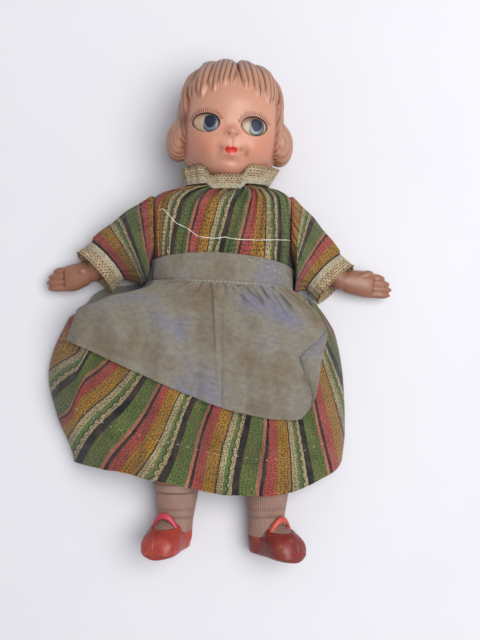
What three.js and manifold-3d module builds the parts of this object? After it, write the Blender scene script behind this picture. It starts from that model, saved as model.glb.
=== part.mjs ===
// A strung celluloid doll with side-glancing eyes, lying on its back in a striped cotton dress,
// lace trim and an apron. Millimetres: +Z up (the way the face looks), +Y to the crown, +X to its left.
// The finished group stands on z = 0 with its origin under the middle of its bounding box.

import * as THREE from 'three'
import { mergeVertices } from 'three/addons/utils/BufferGeometryUtils.js'
import Module from 'manifold-3d'

const wasm = await Module()
wasm.setup()

// Fits and walls
const clearance = 0.3
const shellWall = 2.0
const clothThickness = 1.0
const laceThickness = 0.9
const layerGap = 0.5

// Head
const headHalfWidth = 29.5
const headCrown = 34.6
const headChin = 36.8
const headHalfDepth = 31
const crownSquareness = 3
const jawSquareness = 2.3
const headForward = 3
const neckToHeadCentre = 33
const headTilt = 4
const headTurn = 3.4
const hairRelief = 1.8
const hairLocks = 14
const whorlLean = 38
const hairline = { top: 21.5, slope: 0.47, side: 25.2, nape: -27.5 }
const curl = { out: 29.5, down: 12, halfWidth: 8.5, halfHeight: 13, halfDepth: 12 }

// Bumps and hollows of the face: [x, y, half width, half height, rise], on both sides where x isn't 0
const faceForms = [
  [0, -10.3, 3.2, 2.7, 3.4],
  [0, -20, 6.5, 5.5, 1.6],
  [0, -25.6, 5, 1.8, -0.8],
  [0, -29.5, 7, 4.5, 2.4],
  [14.5, -18.5, 8, 8, 1.8],
  [8, -20.5, 2.2, 4, -0.8],
  [0, 8, 16, 8, 1.2]
]

// Eyes: oval opening, moved a little off the nose's line; iris and pupil set toward the doll's left
const eye = { apart: 27.2, aside: -1.4, down: 5.5, halfWidth: 7.3, halfHeight: 5.2, toe: 14, depth: 5, dome: 1.6 }
const iris = { radius: 4.0, leftGlance: 2.9, rightGlance: 1.7, depth: 1.4 }
const pupilRadius = 2.8

// Neck, torso and stringing
const neck = { x: 2.1, y: 78, z: 30, radius: 9.5, length: 6, bore: 7, floor: 1.6 }
const torsoDepth = 38
const elasticRadius = 1.2
const knotRadius = 2.6
const washerThickness = 0.8
const hookWire = 0.8

// Waist, bodice and sleeve heads, which set where the arms start
const waist = { y: 26, halfWidth: 41.5, halfDepth: 22.4, z: 25 }
const bodiceHalfWidth = waist.halfWidth - 1.1
const sleeveStart = bodiceHalfWidth + 1

// Arms
const shoulder = { y: 54, z: 27, seat: bodiceHalfWidth - 12.4, radius: 9.5 }
const armRadius = 8.2
const wristRadius = 6.4
const handHalfWidth = 8.2
const handHalfThickness = 4.6
const fingerRadius = 2.1

// Legs
const hip = { y: -25, z: 20, seat: 11, radius: 16 }
const legSpacing = 27
const calfRadius = 12.8
const ankleRadius = 9.6
const soleY = -147
const footLength = 40
const footHalfWidth = 10.5
const heelRound = 9
const floorGap = 0.8

// Dress
const armholeRadius = 14.4
const sleeveRadius = 15
const cuffHalfWidth = 14.5
const cuffHalfDepth = 11
const laceWidth = 10.5
const hemY = -90
const hemSag = 17
const skirtCrest = 32
const skirtFolds = 9
const foldDepth = 1.2
const pleatDepth = 0.9
const bandWidth = 15
const bandArch = 2.6
const bandBottom = waist.y - bandWidth * 0.58
const flareStart = bandBottom - 1.6
const studRadius = 2.4
const collarHeight = 7.1
const collarFlare = 6.5

const degrees = Math.PI / 180
const circle = 2 * Math.PI
const materials = {
  skin: { color: 0xd98a66, roughness: 0.35 },
  white: { color: 0xe6e0c4, roughness: 0.2 },
  iris: { color: 0x8fa9b8, roughness: 0.2 },
  pupil: { color: 0x14161c, roughness: 0.1 },
  elastic: { color: 0xd8d2c4, roughness: 0.9 },
  metal: { color: 0xb8b8b8, roughness: 0.35, metalness: 1 },
  stripes: { color: 0xb08a3a, roughness: 0.95 },
  lace: { color: 0xe4dcc4, roughness: 0.95 },
  apron: { color: 0xa6a5a3, roughness: 0.95 }
}

// Closed meshes from points and faces

function signedVolume(points, faces) {
  let sum = 0
  for (const [a, b, c] of faces) {
    sum += points[a].dot(new THREE.Vector3().crossVectors(points[b], points[c])) / 6
  }
  return sum
}

function closedMesh(points, faces) {
  const outward = signedVolume(points, faces) > 0
  const order = outward ? faces : faces.map(([a, b, c]) => [a, c, b])
  const geometry = new THREE.BufferGeometry()
  const flat = points.flatMap((point) => [point.x, point.y, point.z])
  geometry.setAttribute('position', new THREE.Float32BufferAttribute(flat, 3))
  geometry.setIndex(order.flat())
  return geometry
}

// A body through rings of equal count, closed at both ends by a fan.
function loft(rings) {
  const count = rings[0].length
  const points = rings.flat()
  const faces = []
  for (let ring = 0; ring + 1 < rings.length; ring++) {
    for (let i = 0; i < count; i++) {
      const a = ring * count + i
      const b = ring * count + (i + 1) % count
      faces.push([a, b, b + count], [a, b + count, a + count])
    }
  }
  for (const end of [0, rings.length - 1]) {
    const middle = new THREE.Vector3()
    rings[end].forEach((point) => middle.addScaledVector(point, 1 / count))
    points.push(middle)
    for (let i = 0; i < count; i++) {
      const a = end * count + i
      const b = end * count + (i + 1) % count
      faces.push(end === 0 ? [points.length - 1, b, a] : [points.length - 1, a, b])
    }
  }
  return closedMesh(points, faces)
}

// Cloth: surface(u, v) at mid thickness with u, v in 0..1, thickened both ways along its normal.
function cloth(surface, columns, rows, thickness, isTube = false) {
  const step = 1e-3
  const across = isTube ? columns : columns + 1
  const sides = [[], []]
  for (let row = 0; row <= rows; row++) {
    for (let column = 0; column < across; column++) {
      const u = column / columns
      const v = row / rows
      const here = surface(u, v)
      const low = Math.max(v - step, 0)
      const high = Math.min(v + step, 1)
      const left = isTube ? u - step : Math.max(u - step, 0)
      const right = isTube ? u + step : Math.min(u + step, 1)
      const alongU = surface(right, v).sub(surface(left, v))
      const alongV = surface(u, high).sub(surface(u, low))
      const normal = alongU.cross(alongV).normalize()
      sides[0].push(here.clone().addScaledVector(normal, thickness / 2))
      sides[1].push(here.clone().addScaledVector(normal, -thickness / 2))
    }
  }
  const faces = []
  const total = sides[0].length
  const at = (row, column) => row * across + column % across
  for (let row = 0; row < rows; row++) {
    for (let column = 0; column < columns; column++) {
      const [a, b] = [at(row, column), at(row, column + 1)]
      const [c, d] = [at(row + 1, column + 1), at(row + 1, column)]
      faces.push([a, b, c], [a, c, d])
      faces.push([total + a, total + c, total + b], [total + a, total + d, total + c])
    }
  }
  const rim = []
  for (let column = 0; column < columns; column++) {
    rim.push([at(0, column), at(0, column + 1)], [at(rows, column + 1), at(rows, column)])
  }
  for (let row = 0; row < rows && !isTube; row++) {
    rim.push([at(row + 1, 0), at(row, 0)], [at(row, columns), at(row + 1, columns)])
  }
  for (const [a, b] of rim) {
    faces.push([b, a, total + a], [b, total + a, total + b])
  }
  return closedMesh(sides.flat(), faces)
}

// Cuts and joins

function solidOf(geometry) {
  const bare = geometry.clone()
  bare.deleteAttribute('normal')
  bare.deleteAttribute('uv')
  const merged = mergeVertices(bare, 1e-4)
  const vertProperties = new Float32Array(merged.attributes.position.array)
  const triVerts = new Uint32Array(merged.index.array)
  return new wasm.Manifold(new wasm.Mesh({ numProp: 3, vertProperties, triVerts }))
}

function geometryOf(solid) {
  const mesh = solid.getMesh()
  const geometry = new THREE.BufferGeometry()
  geometry.setAttribute('position', new THREE.BufferAttribute(mesh.vertProperties, 3))
  geometry.setIndex(new THREE.BufferAttribute(mesh.triVerts, 1))
  return geometry
}

function joined(...geometries) {
  return geometryOf(geometries.map(solidOf).reduce((sum, next) => sum.add(next)))
}

function cut(geometry, ...tools) {
  return geometryOf(tools.map(solidOf).reduce((rest, tool) => rest.subtract(tool), solidOf(geometry)))
}

// The same mesh with its faces pointing out, whichever way its profile ran.
function facingOut(geometry) {
  const index = geometry.index.array
  const position = geometry.attributes.position
  const corner = (i) => new THREE.Vector3().fromBufferAttribute(position, index[i])
  let volume = 0
  for (let i = 0; i < index.length; i += 3) {
    volume += corner(i).dot(corner(i + 1).cross(corner(i + 2)))
  }
  if (volume < 0) turnOver(index)
  return geometry
}

function turnOver(index) {
  for (let i = 0; i < index.length; i += 3) {
    const second = index[i + 1]
    index[i + 1] = index[i + 2]
    index[i + 2] = second
  }
}

// A turned body on the X axis through (y, z); the profile lists [distance along X, radius].
function turnedOnX(profile, y, z, segments) {
  const points = profile.map(([along, radius]) => new THREE.Vector2(radius, along))
  const geometry = new THREE.LatheGeometry(points, segments)
  return facingOut(geometry.rotateZ(-Math.PI / 2).translate(0, y, z))
}

function rodOnX(from, to, radius, y, z, segments = 20) {
  return turnedOnX([[from, 0], [from, radius], [to, radius], [to, 0]], y, z, segments)
}

function mirrored(geometry) {
  const copy = geometry.clone()
  copy.scale(-1, 1, 1)
  turnOver(copy.index.array)
  return copy
}

// A smooth row of numbers at s between the rows of a short list, by Catmull-Rom.
function rowAt(rows, s) {
  const i = Math.min(Math.floor(s), rows.length - 2)
  const f = s - i
  const before = rows[Math.max(i - 1, 0)]
  const after = rows[Math.min(i + 2, rows.length - 1)]
  return rows[i].map((p1, k) => {
    const p2 = rows[i + 1][k]
    const m1 = (p2 - before[k]) / 2
    const m2 = (after[k] - p1) / 2
    return p1 + f * (m1 + f * (3 * (p2 - p1) - 2 * m1 - m2 + f * (2 * (p1 - p2) + m1 + m2)))
  })
}

function smoothRows(rows, count) {
  return Array.from({ length: count }, (_, i) => rowAt(rows, i * (rows.length - 1) / (count - 1)))
}

// Eases from 0 at from to 1 at to, in either direction.
function smooth(from, to, value) {
  const t = THREE.MathUtils.clamp((value - from) / (to - from), 0, 1)
  return t * t * (3 - 2 * t)
}

const bump = (x, y, rx, ry) => Math.exp(-((x / rx) ** 2) - (y / ry) ** 2)
const mix = THREE.MathUtils.lerp

// Head, in its own frame: origin in the neck seat, +Y to the crown, +Z to the face

const eyeX = (side) => side * eye.apart / 2 + eye.aside
const glance = (side) => side < 0 ? iris.leftGlance : iris.rightGlance
const eyeY = neckToHeadCentre - eye.down
const eyeTurn = eye.toe * degrees

function eyePlaneHeight(x, side) {
  const facing = headHalfDepth * Math.sqrt(1 - (eye.apart / 2 / headHalfWidth) ** 2) + headForward
  return facing - (x - eyeX(side)) * side * Math.tan(eyeTurn)
}

// 1 in the moulded hair, 0 on the face and below the nape.
function hairAt(x, y, front) {
  const fringe = hairline.top - hairline.slope * Math.abs(x)
  const overBrow = smooth(fringe - 1.5, fringe + 1.5, y)
  const besideFace = smooth(hairline.side - 1, hairline.side + 1, Math.abs(x))
  return Math.max(1 - front, overBrow, besideFace) * smooth(hairline.nape - 1.5, hairline.nape + 1.5, y)
}

// The combed locks, 1 on a ridge and 0 between two, which fan from a whorl behind the crown.
function lockAt(x, y, z) {
  const lean = whorlLean * degrees
  const forward = y / headChin * Math.sin(lean) + z / headHalfDepth * Math.cos(lean)
  const round = Math.abs(Math.atan2(x / headHalfWidth, forward))
  return Math.abs(Math.sin(hairLocks / 2 * round)) ** 0.8
}

// The head is squarish over the hair and rounder at the jaw; its hair stands hairRelief proud.
function headPoint(longitude, polar) {
  const y0 = Math.cos(polar)
  const squareness = y0 > 0 ? crownSquareness : jawSquareness
  const across = (1 - Math.abs(y0) ** squareness) ** (1 / squareness)
  const deep = (1 - Math.abs(y0) ** jawSquareness) ** (1 / jawSquareness)
  const z0 = deep * Math.cos(longitude)
  const jaw = 1 - 0.08 * smooth(-0.35, -0.9, y0)
  const nape = z0 < 0 ? 1 - 0.22 * smooth(0, -0.95, y0) : 1
  const x = headHalfWidth * across * Math.sin(longitude) * jaw
  const y = (y0 > 0 ? headCrown : headChin) * y0
  let z = headHalfDepth * z0 * nape
  const front = smooth(0, 0.4, z0)
  const raise = 1 + hairRelief * hairAt(x, y, front) * mix(0.35, 1, lockAt(x, y, z)) / headHalfWidth
  for (const [formX, formY, halfWidth, halfHeight, rise] of faceForms) {
    z += front * rise * bump(Math.abs(x) - formX, y - formY, halfWidth, halfHeight)
  }
  z = z * raise + headForward
  for (const side of [-1, 1]) {
    const near = bump(x - eyeX(side), y + eye.down, 9.5, 7) * front
    z = mix(z, eyePlaneHeight(x, side), Math.min(1, 1.35 * near))
  }
  return new THREE.Vector3(x * raise, y * raise + neckToHeadCentre, z)
}

// Rings and columns of the head lie closest together over the face.
function headRing(s, around) {
  const faceAt = 0.62
  const crowding = 0.45
  const turn = (value) => Math.sin(circle * (value - faceAt))
  const polar = Math.PI * (s - crowding / circle * (turn(s) - turn(0)))
  return Array.from({ length: around }, (_, i) => {
    const angle = circle * i / around
    return headPoint(angle - crowding * Math.sin(angle), polar)
  })
}

function ovalPrism(halfWidth, halfHeight, back, front, dome, segments) {
  const rings = [back, front].map((z) => ovalRing(halfWidth, halfHeight, z, segments))
  if (dome > 0) {
    rings.push(ovalRing(halfWidth * 0.72, halfHeight * 0.72, front + dome * 0.6, segments))
    rings.push(ovalRing(halfWidth * 0.3, halfHeight * 0.3, front + dome * 0.95, segments))
  }
  return loft(rings)
}

function ovalRing(halfWidth, halfHeight, z, segments) {
  return Array.from({ length: segments }, (_, i) => {
    const angle = circle * i / segments
    return new THREE.Vector3(halfWidth * Math.cos(angle), halfHeight * Math.sin(angle), z)
  })
}

// Moves a piece modelled round an eye's own axis to its place in the head.
function placeAtEye(geometry, side) {
  const depth = eyePlaneHeight(eyeX(side), side)
  return geometry.rotateY(side * eyeTurn).translate(eyeX(side), eyeY, depth)
}

function headShell() {
  const rings = 26
  const outside = loft(Array.from({ length: rings - 1 }, (_, i) => headRing((i + 1) / rings, 48)))
  const curls = [-1, 1].map((side) => {
    const lobe = new THREE.SphereGeometry(1, 14, 10)
    lobe.scale(curl.halfWidth, curl.halfHeight, curl.halfDepth).rotateZ(side * 8 * degrees)
    return lobe.translate(side * curl.out, neckToHeadCentre - curl.down, headForward - 1)
  })
  const stub = neckPiece([[-neck.length, 0], [-neck.length, neck.radius - 1.5],
    [1.2 - neck.length, neck.radius], [8, neck.radius], [8, 0]], 18)
  const hollow = new THREE.SphereGeometry(1, 16, 10)
  hollow.scale(headHalfWidth - shellWall, headCrown - shellWall, headHalfDepth - shellWall)
  hollow.translate(0, neckToHeadCentre, headForward)
  const floor = neck.floor - neck.length
  const bore = neckPiece([[floor, 0], [floor, neck.bore], [6, neck.bore], [6, 0]], 14)
  const hole = elasticHole(-neck.length - 1, floor + 1)
  const openings = [-1, 1].map((side) =>
    placeAtEye(ovalPrism(eye.halfWidth, eye.halfHeight, -12, 8, 0, 16), side))
  return cut(joined(outside, ...curls, stub), hollow, bore, hole, ...openings)
}

// Turned on the neck axis; the profile lists [height, radius].
function neckPiece(profile, segments) {
  return facingOut(new THREE.LatheGeometry(profile.map(([y, r]) => new THREE.Vector2(r, y)), segments))
}

function elasticHole(from, to) {
  const radius = elasticRadius + clearance
  return neckPiece([[from, 0], [from, radius], [to, radius], [to, 0]], 8)
}

function eyeball(side) {
  const ball = ovalPrism(eye.halfWidth - clearance, eye.halfHeight - clearance, -eye.depth, -1, eye.dome, 16)
  const pocket = discOnZ(iris.radius + clearance, -1 - iris.depth / 2, 4)
  pocket.translate(glance(side), 0, 0)
  return placeAtEye(cut(ball, pocket), side)
}

function discOnZ(radius, from, to, segments = 16) {
  return ovalPrism(radius, radius, from, to, 0, segments)
}

function irisRing(side) {
  const floor = -1 - iris.depth / 2 + clearance
  const ring = cut(discOnZ(iris.radius, floor, floor + iris.depth),
    discOnZ(pupilRadius + clearance, floor - 1, floor + iris.depth + 1))
  return placeAtEye(ring.translate(glance(side), 0, 0), side)
}

function pupil(side) {
  const floor = -1 - iris.depth / 2 + clearance
  const disc = ovalPrism(pupilRadius, pupilRadius, floor, floor + iris.depth, 0.5, 12)
  return placeAtEye(disc.translate(glance(side), 0, 0), side)
}

// Torso

// Cutting tools reach this far, which is past the widest part of the body.
const pastBody = 1.5 * waist.halfWidth

function ovalAcrossY(y, halfWidth, halfDepth, z, count) {
  return Array.from({ length: count }, (_, i) => {
    const angle = circle * i / count
    return new THREE.Vector3(halfWidth * Math.cos(angle), y, z + halfDepth * Math.sin(angle))
  })
}

function torsoBody(inset, count, rings) {
  const w = shoulder.seat + 1
  const d = torsoDepth / 2
  const stations = [
    [hip.y - 17, 0.25 * w, 0.45 * d, 18],
    [hip.y - 8, 0.62 * w, 0.8 * d, 19],
    [hip.y + 8, 0.9 * w, 0.98 * d, 21],
    [hip.y + 24, w, d, 22.5],
    [waist.y, 0.86 * w, 0.92 * d, 24],
    [shoulder.y - 8, 0.94 * w, 0.95 * d, 26],
    [shoulder.y + 4, w, 0.9 * d, 27],
    [shoulder.y + 12, 0.8 * w, 0.72 * d, 27.5],
    [shoulder.y + 17, 0.52 * w, 0.6 * d, 28]
  ]
  const last = stations.length - 1
  return loft(smoothRows(stations, rings).map(([y, halfWidth, halfDepth, z], i) => {
    const end = i === 0 ? inset : i === rings - 1 ? -inset : 0
    return ovalAcrossY(y + end, halfWidth - inset, halfDepth - inset, z, count)
  }))
}

// What a thigh sweeps beside the crotch, grown by extra.
function thighSpace(side, extra) {
  const reach = hip.radius + clearance + extra
  const from = side * (hip.seat - extra)
  const to = side * pastBody
  const [low, high] = [-pastBody, 2 * pastBody]
  const drum = rodOnX(from, to, reach, hip.y, hip.z, 24)
  const below = boxBetween([from, hip.y - pastBody, low], [to, hip.y, high])
  const above = boxBetween([from, hip.y - pastBody, hip.z], [to, hip.y + reach, high])
  return [drum, below, above]
}

function boxBetween(a, b) {
  const size = a.map((value, i) => Math.abs(b[i] - value))
  const middle = a.map((value, i) => (b[i] + value) / 2)
  return new THREE.BoxGeometry(...size).translate(...middle)
}

function torsoShell() {
  const thighs = [-1, 1].flatMap((side) => thighSpace(side, 0))
  const thighWalls = [-1, 1].flatMap((side) => thighSpace(side, shellWall))
  const seats = [-1, 1].map((side) =>
    rodOnX(side * shoulder.seat, side * pastBody, shoulder.radius + 0.5, shoulder.y, shoulder.z, 20))
  const hollow = cut(torsoBody(shellWall, 14, 9), ...thighWalls)
  const socket = placeAtNeck(neckPiece([[-neck.length - clearance, 0],
    [-neck.length - clearance, neck.radius - 1.5 + clearance],
    [1.2 - neck.length - clearance, neck.radius + clearance], [30, neck.radius + clearance], [30, 0]], 18))
  const neckHole = placeAtNeck(elasticHole(-20, 0))
  const hole = elasticRadius + clearance
  const armHole = rodOnX(-pastBody, pastBody, hole, shoulder.y, shoulder.z, 8)
  const legHole = rodOnX(-pastBody, pastBody, hole, hip.y, hip.z, 8)
  return cut(torsoBody(0, 20, 12), ...thighs, ...seats, hollow, socket, neckHole, armHole, legHole)
}

function placeAtNeck(geometry) {
  return geometry.rotateZ(-headTilt * degrees).translate(neck.x, neck.y, neck.z)
}

// Stringing: elastic with a knot in each limb, washers that the knots bear on

function knottedElastic(reach, y, z) {
  const knot = [[reach, elasticRadius], [reach + 0.6, knotRadius], [reach + 3, knotRadius],
    [reach + 4.4, knotRadius * 0.6], [reach + 4.6, 0]]
  const other = knot.map(([x, radius]) => [-x, radius]).reverse()
  return turnedOnX([...other, ...knot], y, z, 8)
}

function washer(side, seat, y, z) {
  const hole = elasticRadius + clearance
  const [near, far] = [seat, seat + washerThickness].map((x) => side * x)
  const rim = knotRadius + 1.2
  return turnedOnX([[near, hole], [near, rim], [far, rim], [far, hole], [near, hole]], y, z, 12)
}

// A pocket behind a limb's flat end: an elastic hole, then room for washer and knot.
function knotPocket(side, seat, y, z) {
  const hole = elasticRadius + clearance
  const rim = knotRadius + 1.2 + clearance
  const [mouth, floor, end] = [seat - 1, seat + shellWall, seat + shellWall + 7.5].map((x) => side * x)
  return turnedOnX([[mouth, 0], [mouth, hole], [floor, hole], [floor, rim], [end, rim], [end, 0]], y, z, 12)
}

// Limbs

// A limb through stations [x, y, z, halfWidth, halfDepth], each oval square to the path.
function limb(stations, count, rings) {
  const rows = smoothRows(stations, rings)
  return loft(rows.map(([x, y, z, halfWidth, halfDepth], i) => {
    const before = rows[Math.max(i - 1, 0)]
    const after = rows[Math.min(i + 1, rings - 1)]
    const along = new THREE.Vector3(after[0] - before[0], after[1] - before[1], after[2] - before[2])
    const across = new THREE.Vector3().crossVectors(along, new THREE.Vector3(0, 0, 1)).normalize()
    const up = new THREE.Vector3().crossVectors(across, along).normalize()
    return Array.from({ length: count }, (_, k) => {
      const angle = circle * k / count
      return new THREE.Vector3(x, y, z)
        .addScaledVector(across, halfWidth * Math.cos(angle))
        .addScaledVector(up, halfDepth * Math.sin(angle))
    })
  }))
}

// Points of each arm: distance out from the sleeve's start, then y and z
const armPaths = {
  left: { elbow: [13.6, 43, 18], wrist: [35.6, 28, 11.5], palm: [48.6, 22.5, 9.5], tip: [63.6, 20, 8.5] },
  right: { elbow: [13.1, 39, 17.5], wrist: [29.6, 22, 11.5], palm: [44.6, 19, 9.5], tip: [60.1, 17, 8.5] }
}

function outFromSleeve([out, y, z]) {
  return [sleeveStart + out, y, z]
}

function arm(path) {
  const [ex, ey, ez] = outFromSleeve(path.elbow)
  const [wx, wy, wz] = outFromSleeve(path.wrist)
  const palm = outFromSleeve(path.palm)
  const tip = outFromSleeve(path.tip)
  const [px, py, pz] = palm
  const knuckles = mixPoint(palm, tip, 0.4)
  const seat = shoulder.seat + clearance
  const r = shoulder.radius
  const cap = turnedOnX([[seat, 0], [seat, r - 1], [seat + 1, r - 0.2], [seat + 5, r], [seat + 10, r - 0.8],
    [seat + 14, r - 4], [seat + 15.5, 0]], shoulder.y, shoulder.z, 16)
  const limbBody = limb([
    [seat + 6, shoulder.y - 1, shoulder.z, armRadius - 1, armRadius - 1],
    [ex - 7.5, ey + 7.8, ez + 5, armRadius - 0.9, armRadius - 0.9],
    [ex, ey, ez, armRadius, armRadius * 0.96],
    [(ex + wx) / 2, (ey + wy) / 2 + 0.5, (ez + wz) / 2 - 1.5, armRadius * 0.94, armRadius * 0.86],
    [wx, wy, wz, wristRadius, wristRadius * 0.92],
    [wx + 4, wy - 1, wz - 0.5, wristRadius * 0.95, wristRadius * 0.85],
    [px, py, pz, handHalfWidth, handHalfThickness],
    [...knuckles, handHalfWidth * 0.92, handHalfThickness * 0.8]], 12, 12)
  const fingers = [0, 1, 2, 3].map((k) => {
    const offset = (k - 1.5) * fingerRadius * 1.85
    const length = 1 - 0.12 * Math.abs(k - 1.3)
    const root = [knuckles[0] - 3, knuckles[1] + offset, knuckles[2]]
    const end = mixPoint(root, [tip[0], tip[1] + offset * 0.85, tip[2] - 2], length)
    return finger(root, end, fingerRadius)
  })
  const thumbRoot = [px - 6, py + 3, pz + 1]
  const thumb = finger(thumbRoot, [px + 2.5, py + handHalfWidth + 2.2, pz + 3.5], fingerRadius * 1.25)
  const body = joined(cap, limbBody, ...fingers, thumb)
  return cut(body, knotPocket(1, seat, shoulder.y, shoulder.z))
}

function mixPoint(a, b, t) {
  return a.map((value, i) => mix(value, b[i], t))
}

function finger(root, end, radius) {
  const middle = mixPoint(root, end, 0.55)
  const stations = [[...root, radius, radius], [middle[0], middle[1], middle[2] + 0.8, radius, radius],
    [...mixPoint(root, end, 0.9), radius * 0.85, radius * 0.85], [...end, radius * 0.35, radius * 0.35]]
  return limb(stations, 6, 4)
}

function leg(footTurn) {
  const seat = hip.seat + clearance
  const r = hip.radius
  const cap = turnedOnX([[seat, 0], [seat, r - 1.4], [seat + 1.4, r - 0.2], [seat + 7, r], [seat + 15, r - 0.6],
    [seat + 20, r - 4], [seat + 22.5, r - 10], [seat + 23, 0]], hip.y, hip.z, 20)
  const x = legSpacing
  const thighY = hip.y - 18
  const kneeY = hip.y - 50
  const calfY = hip.y - 74
  const ankleY = soleY + 24
  const calfZ = calfRadius + clothThickness + 0.6
  const limbBody = limb([
    [x - 1, hip.y + 3, hip.z - 1, 12.5, 13],
    [x - 0.8, thighY, hip.z - 2, 14.2, 14.6],
    [x - 0.5, (thighY + kneeY) / 2, hip.z - 3, 14, 14],
    [x, kneeY, calfZ + 0.6, 12, 12.4],
    [x, calfY, calfZ, calfRadius, calfRadius],
    [x, calfY - 9, calfZ, calfRadius * 0.93, calfRadius * 0.93],
    [x, ankleY, ankleRadius + 2.6, ankleRadius, ankleRadius],
    [x, soleY + 12, ankleRadius + 2.2, ankleRadius, ankleRadius],
    [x, soleY + 4, ankleRadius + 2, ankleRadius * 0.9, ankleRadius * 0.9]], 16, 14)
  const welt = limb([[x, calfY - 2, calfZ, calfRadius, calfRadius],
    [x, calfY - 3, calfZ, calfRadius + 0.6, calfRadius + 0.6],
    [x, calfY - 6, calfZ, calfRadius + 0.5, calfRadius + 0.5],
    [x, calfY - 7.5, calfZ, calfRadius - 1, calfRadius - 1]], 16, 4)
  const foot = shoe(footTurn).translate(x, soleY, 0)
  return cut(joined(cap, limbBody, welt, foot), knotPocket(1, seat, hip.y, hip.z))
}

// A shoe standing on its sole at y = 0, heel on the floor, toe up and turned outward.
function shoe(turn) {
  const w = footHalfWidth
  const stations = [
    [0, 0, 7.5, 7.4, 3], [0, 0, 9.0, 8.6, 5.5], [0, 0, 10.3, 9.2, 12], [0, 0, 10.6, w - 0.6, 20],
    [0, 0, 9.2, w, 28], [0, 0, 7.8, w - 0.6, 34.5], [0, 0, 6, w - 3, 38.5], [0, 0, 3.2, w - 7, footLength]]
  const body = loft(smoothRows(stations, 10).map(([, , height, halfWidth, along]) =>
    Array.from({ length: 14 }, (_, i) => {
      const angle = circle * i / 14
      const rise = height + Math.sin(angle) * height
      return new THREE.Vector3(halfWidth * Math.cos(angle), Math.max(rise, 1), along)
    })))
  const outline = Array.from({ length: 20 }, (_, i) => {
    const angle = circle * i / 20
    const waistIn = 1 - 0.08 * bump(Math.sin(angle), 0, 0.35, 1)
    return new THREE.Vector2((w + 0.4) * waistIn * Math.cos(angle),
      footLength / 2 + 0.6 + (footLength / 2 - 0.4) * Math.sin(angle))
  })
  const sole = new THREE.ExtrudeGeometry(new THREE.Shape(outline), { depth: 2.2, bevelEnabled: false })
  sole.rotateX(Math.PI / 2).translate(0, 2.2, 0)
  const strap = strapArch(w)
  const whole = joined(body, sole, strap)
  return whole.translate(0, 0, -heelRound).rotateY(turn * degrees).translate(0, 0, heelRound + floorGap)
}

// The raised strap that crosses the instep.
function strapArch(w) {
  const count = 10
  const rings = Array.from({ length: count + 1 }, (_, i) => {
    const angle = Math.PI * i / count
    const centre = new THREE.Vector3((w - 0.2) * Math.cos(angle), 6 + 13.4 * Math.sin(angle), 17.5)
    const out = new THREE.Vector3(Math.cos(angle), Math.sin(angle), 0)
    return [[-1, -2.2], [0.6, -2.0], [1.1, 0], [0.6, 2.0], [-1, 2.2]].map(([lift, side]) =>
      centre.clone().addScaledVector(out, lift).add(new THREE.Vector3(0, 0, side)))
  })
  return loft(rings)
}

// Dress: sections round the body, then the skirt's height field

// A point of the oval section round the body at angle; the front half is +Z. A lower power makes
// the oval squarer, as between the armholes.
function section(angle, halfWidth, halfDepth, y, z, power = 0.85) {
  const lift = Math.sign(Math.sin(angle)) * Math.abs(Math.sin(angle)) ** power
  return new THREE.Vector3(halfWidth * Math.cos(angle), y, z + halfDepth * lift)
}

const neckline = { y: neck.y - 4.8, halfWidth: 24, halfDepth: 18 }

function bodiceSurface(angle, v, inset) {
  const rows = [
    [waist.y, bodiceHalfWidth, waist.halfDepth, waist.z, 0.85],
    [waist.y + 14, bodiceHalfWidth, 23, 25.2, 0.55],
    [shoulder.y - 2, bodiceHalfWidth, 23.4, 25.8, 0.4],
    [shoulder.y + 9, bodiceHalfWidth, 22.4, 26.8, 0.4],
    [shoulder.y + 14, bodiceHalfWidth - 1.5, 21, 28, 0.5],
    [shoulder.y + 17.5, bodiceHalfWidth - 7, 19.4, 29, 0.75],
    [neckline.y, neckline.halfWidth, neckline.halfDepth, neck.z, 0.85]
  ]
  const [y, halfWidth, halfDepth, z, power] = rowAt(rows, v * (rows.length - 1))
  const gather = 0.35 * Math.sin(angle * 30) * smooth(0, 0.25, Math.sin(angle))
  const lower = inset * smooth(0.75, 1, v)
  const width = neck.x * smooth(0.7, 1, v)
  const point = section(angle, Math.min(halfWidth, bodiceHalfWidth) - inset, halfDepth + gather - inset,
    y - lower, z, power)
  point.x += width
  return point
}

function bodicePanel(fromAngle, toAngle, columns, inset) {
  const surface = (u, v) => bodiceSurface(mix(fromAngle, toAngle, u), v, inset)
  const panel = cloth(surface, columns, 7, clothThickness)
  const holeStart = shoulder.seat + 2
  const armholes = [-1, 1].map((side) =>
    rodOnX(side * holeStart, side * pastBody, armholeRadius, shoulder.y, shoulder.z, 16))
  return cut(panel, ...armholes)
}

const seam = 0.6 * degrees
const overlap = 4.5 * degrees
const studInset = washerThickness + 2 * clearance + clothThickness + 0.2
const backMiddle = 1.5 * Math.PI

// A stud that lies between the two back panels at height v of the bodice.
function stud(v) {
  const seat = bodiceSurface(backMiddle, v, 0)
  const disc = discOnZ(studRadius, 0, washerThickness, 16)
  return disc.translate(0, seat.y, seat.z + clothThickness / 2 + clearance + 0.1)
}

const cuffs = {
  left: { sag: 5, centre: outFromSleeve([26.1, 34.5, 12.6]), direction: [0.86, -0.51, 0] },
  right: { sag: 8, centre: outFromSleeve([21.1, 29.5, 12.6]), direction: [0.72, -0.694, 0] }
}

function cuffRingPoint(cuff, angle, along, flare) {
  const direction = new THREE.Vector3(...cuff.direction)
  const across = new THREE.Vector3(direction.y, -direction.x, 0)
  return new THREE.Vector3(...cuff.centre)
    .addScaledVector(direction, along)
    .addScaledVector(across, -(cuffHalfWidth + flare) * Math.sin(angle))
    .add(new THREE.Vector3(0, 0, (cuffHalfDepth + flare) * Math.cos(angle)))
}

// How far out a sleeve keeps to pass beside the apron band.
const besideBand = 5.6

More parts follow.
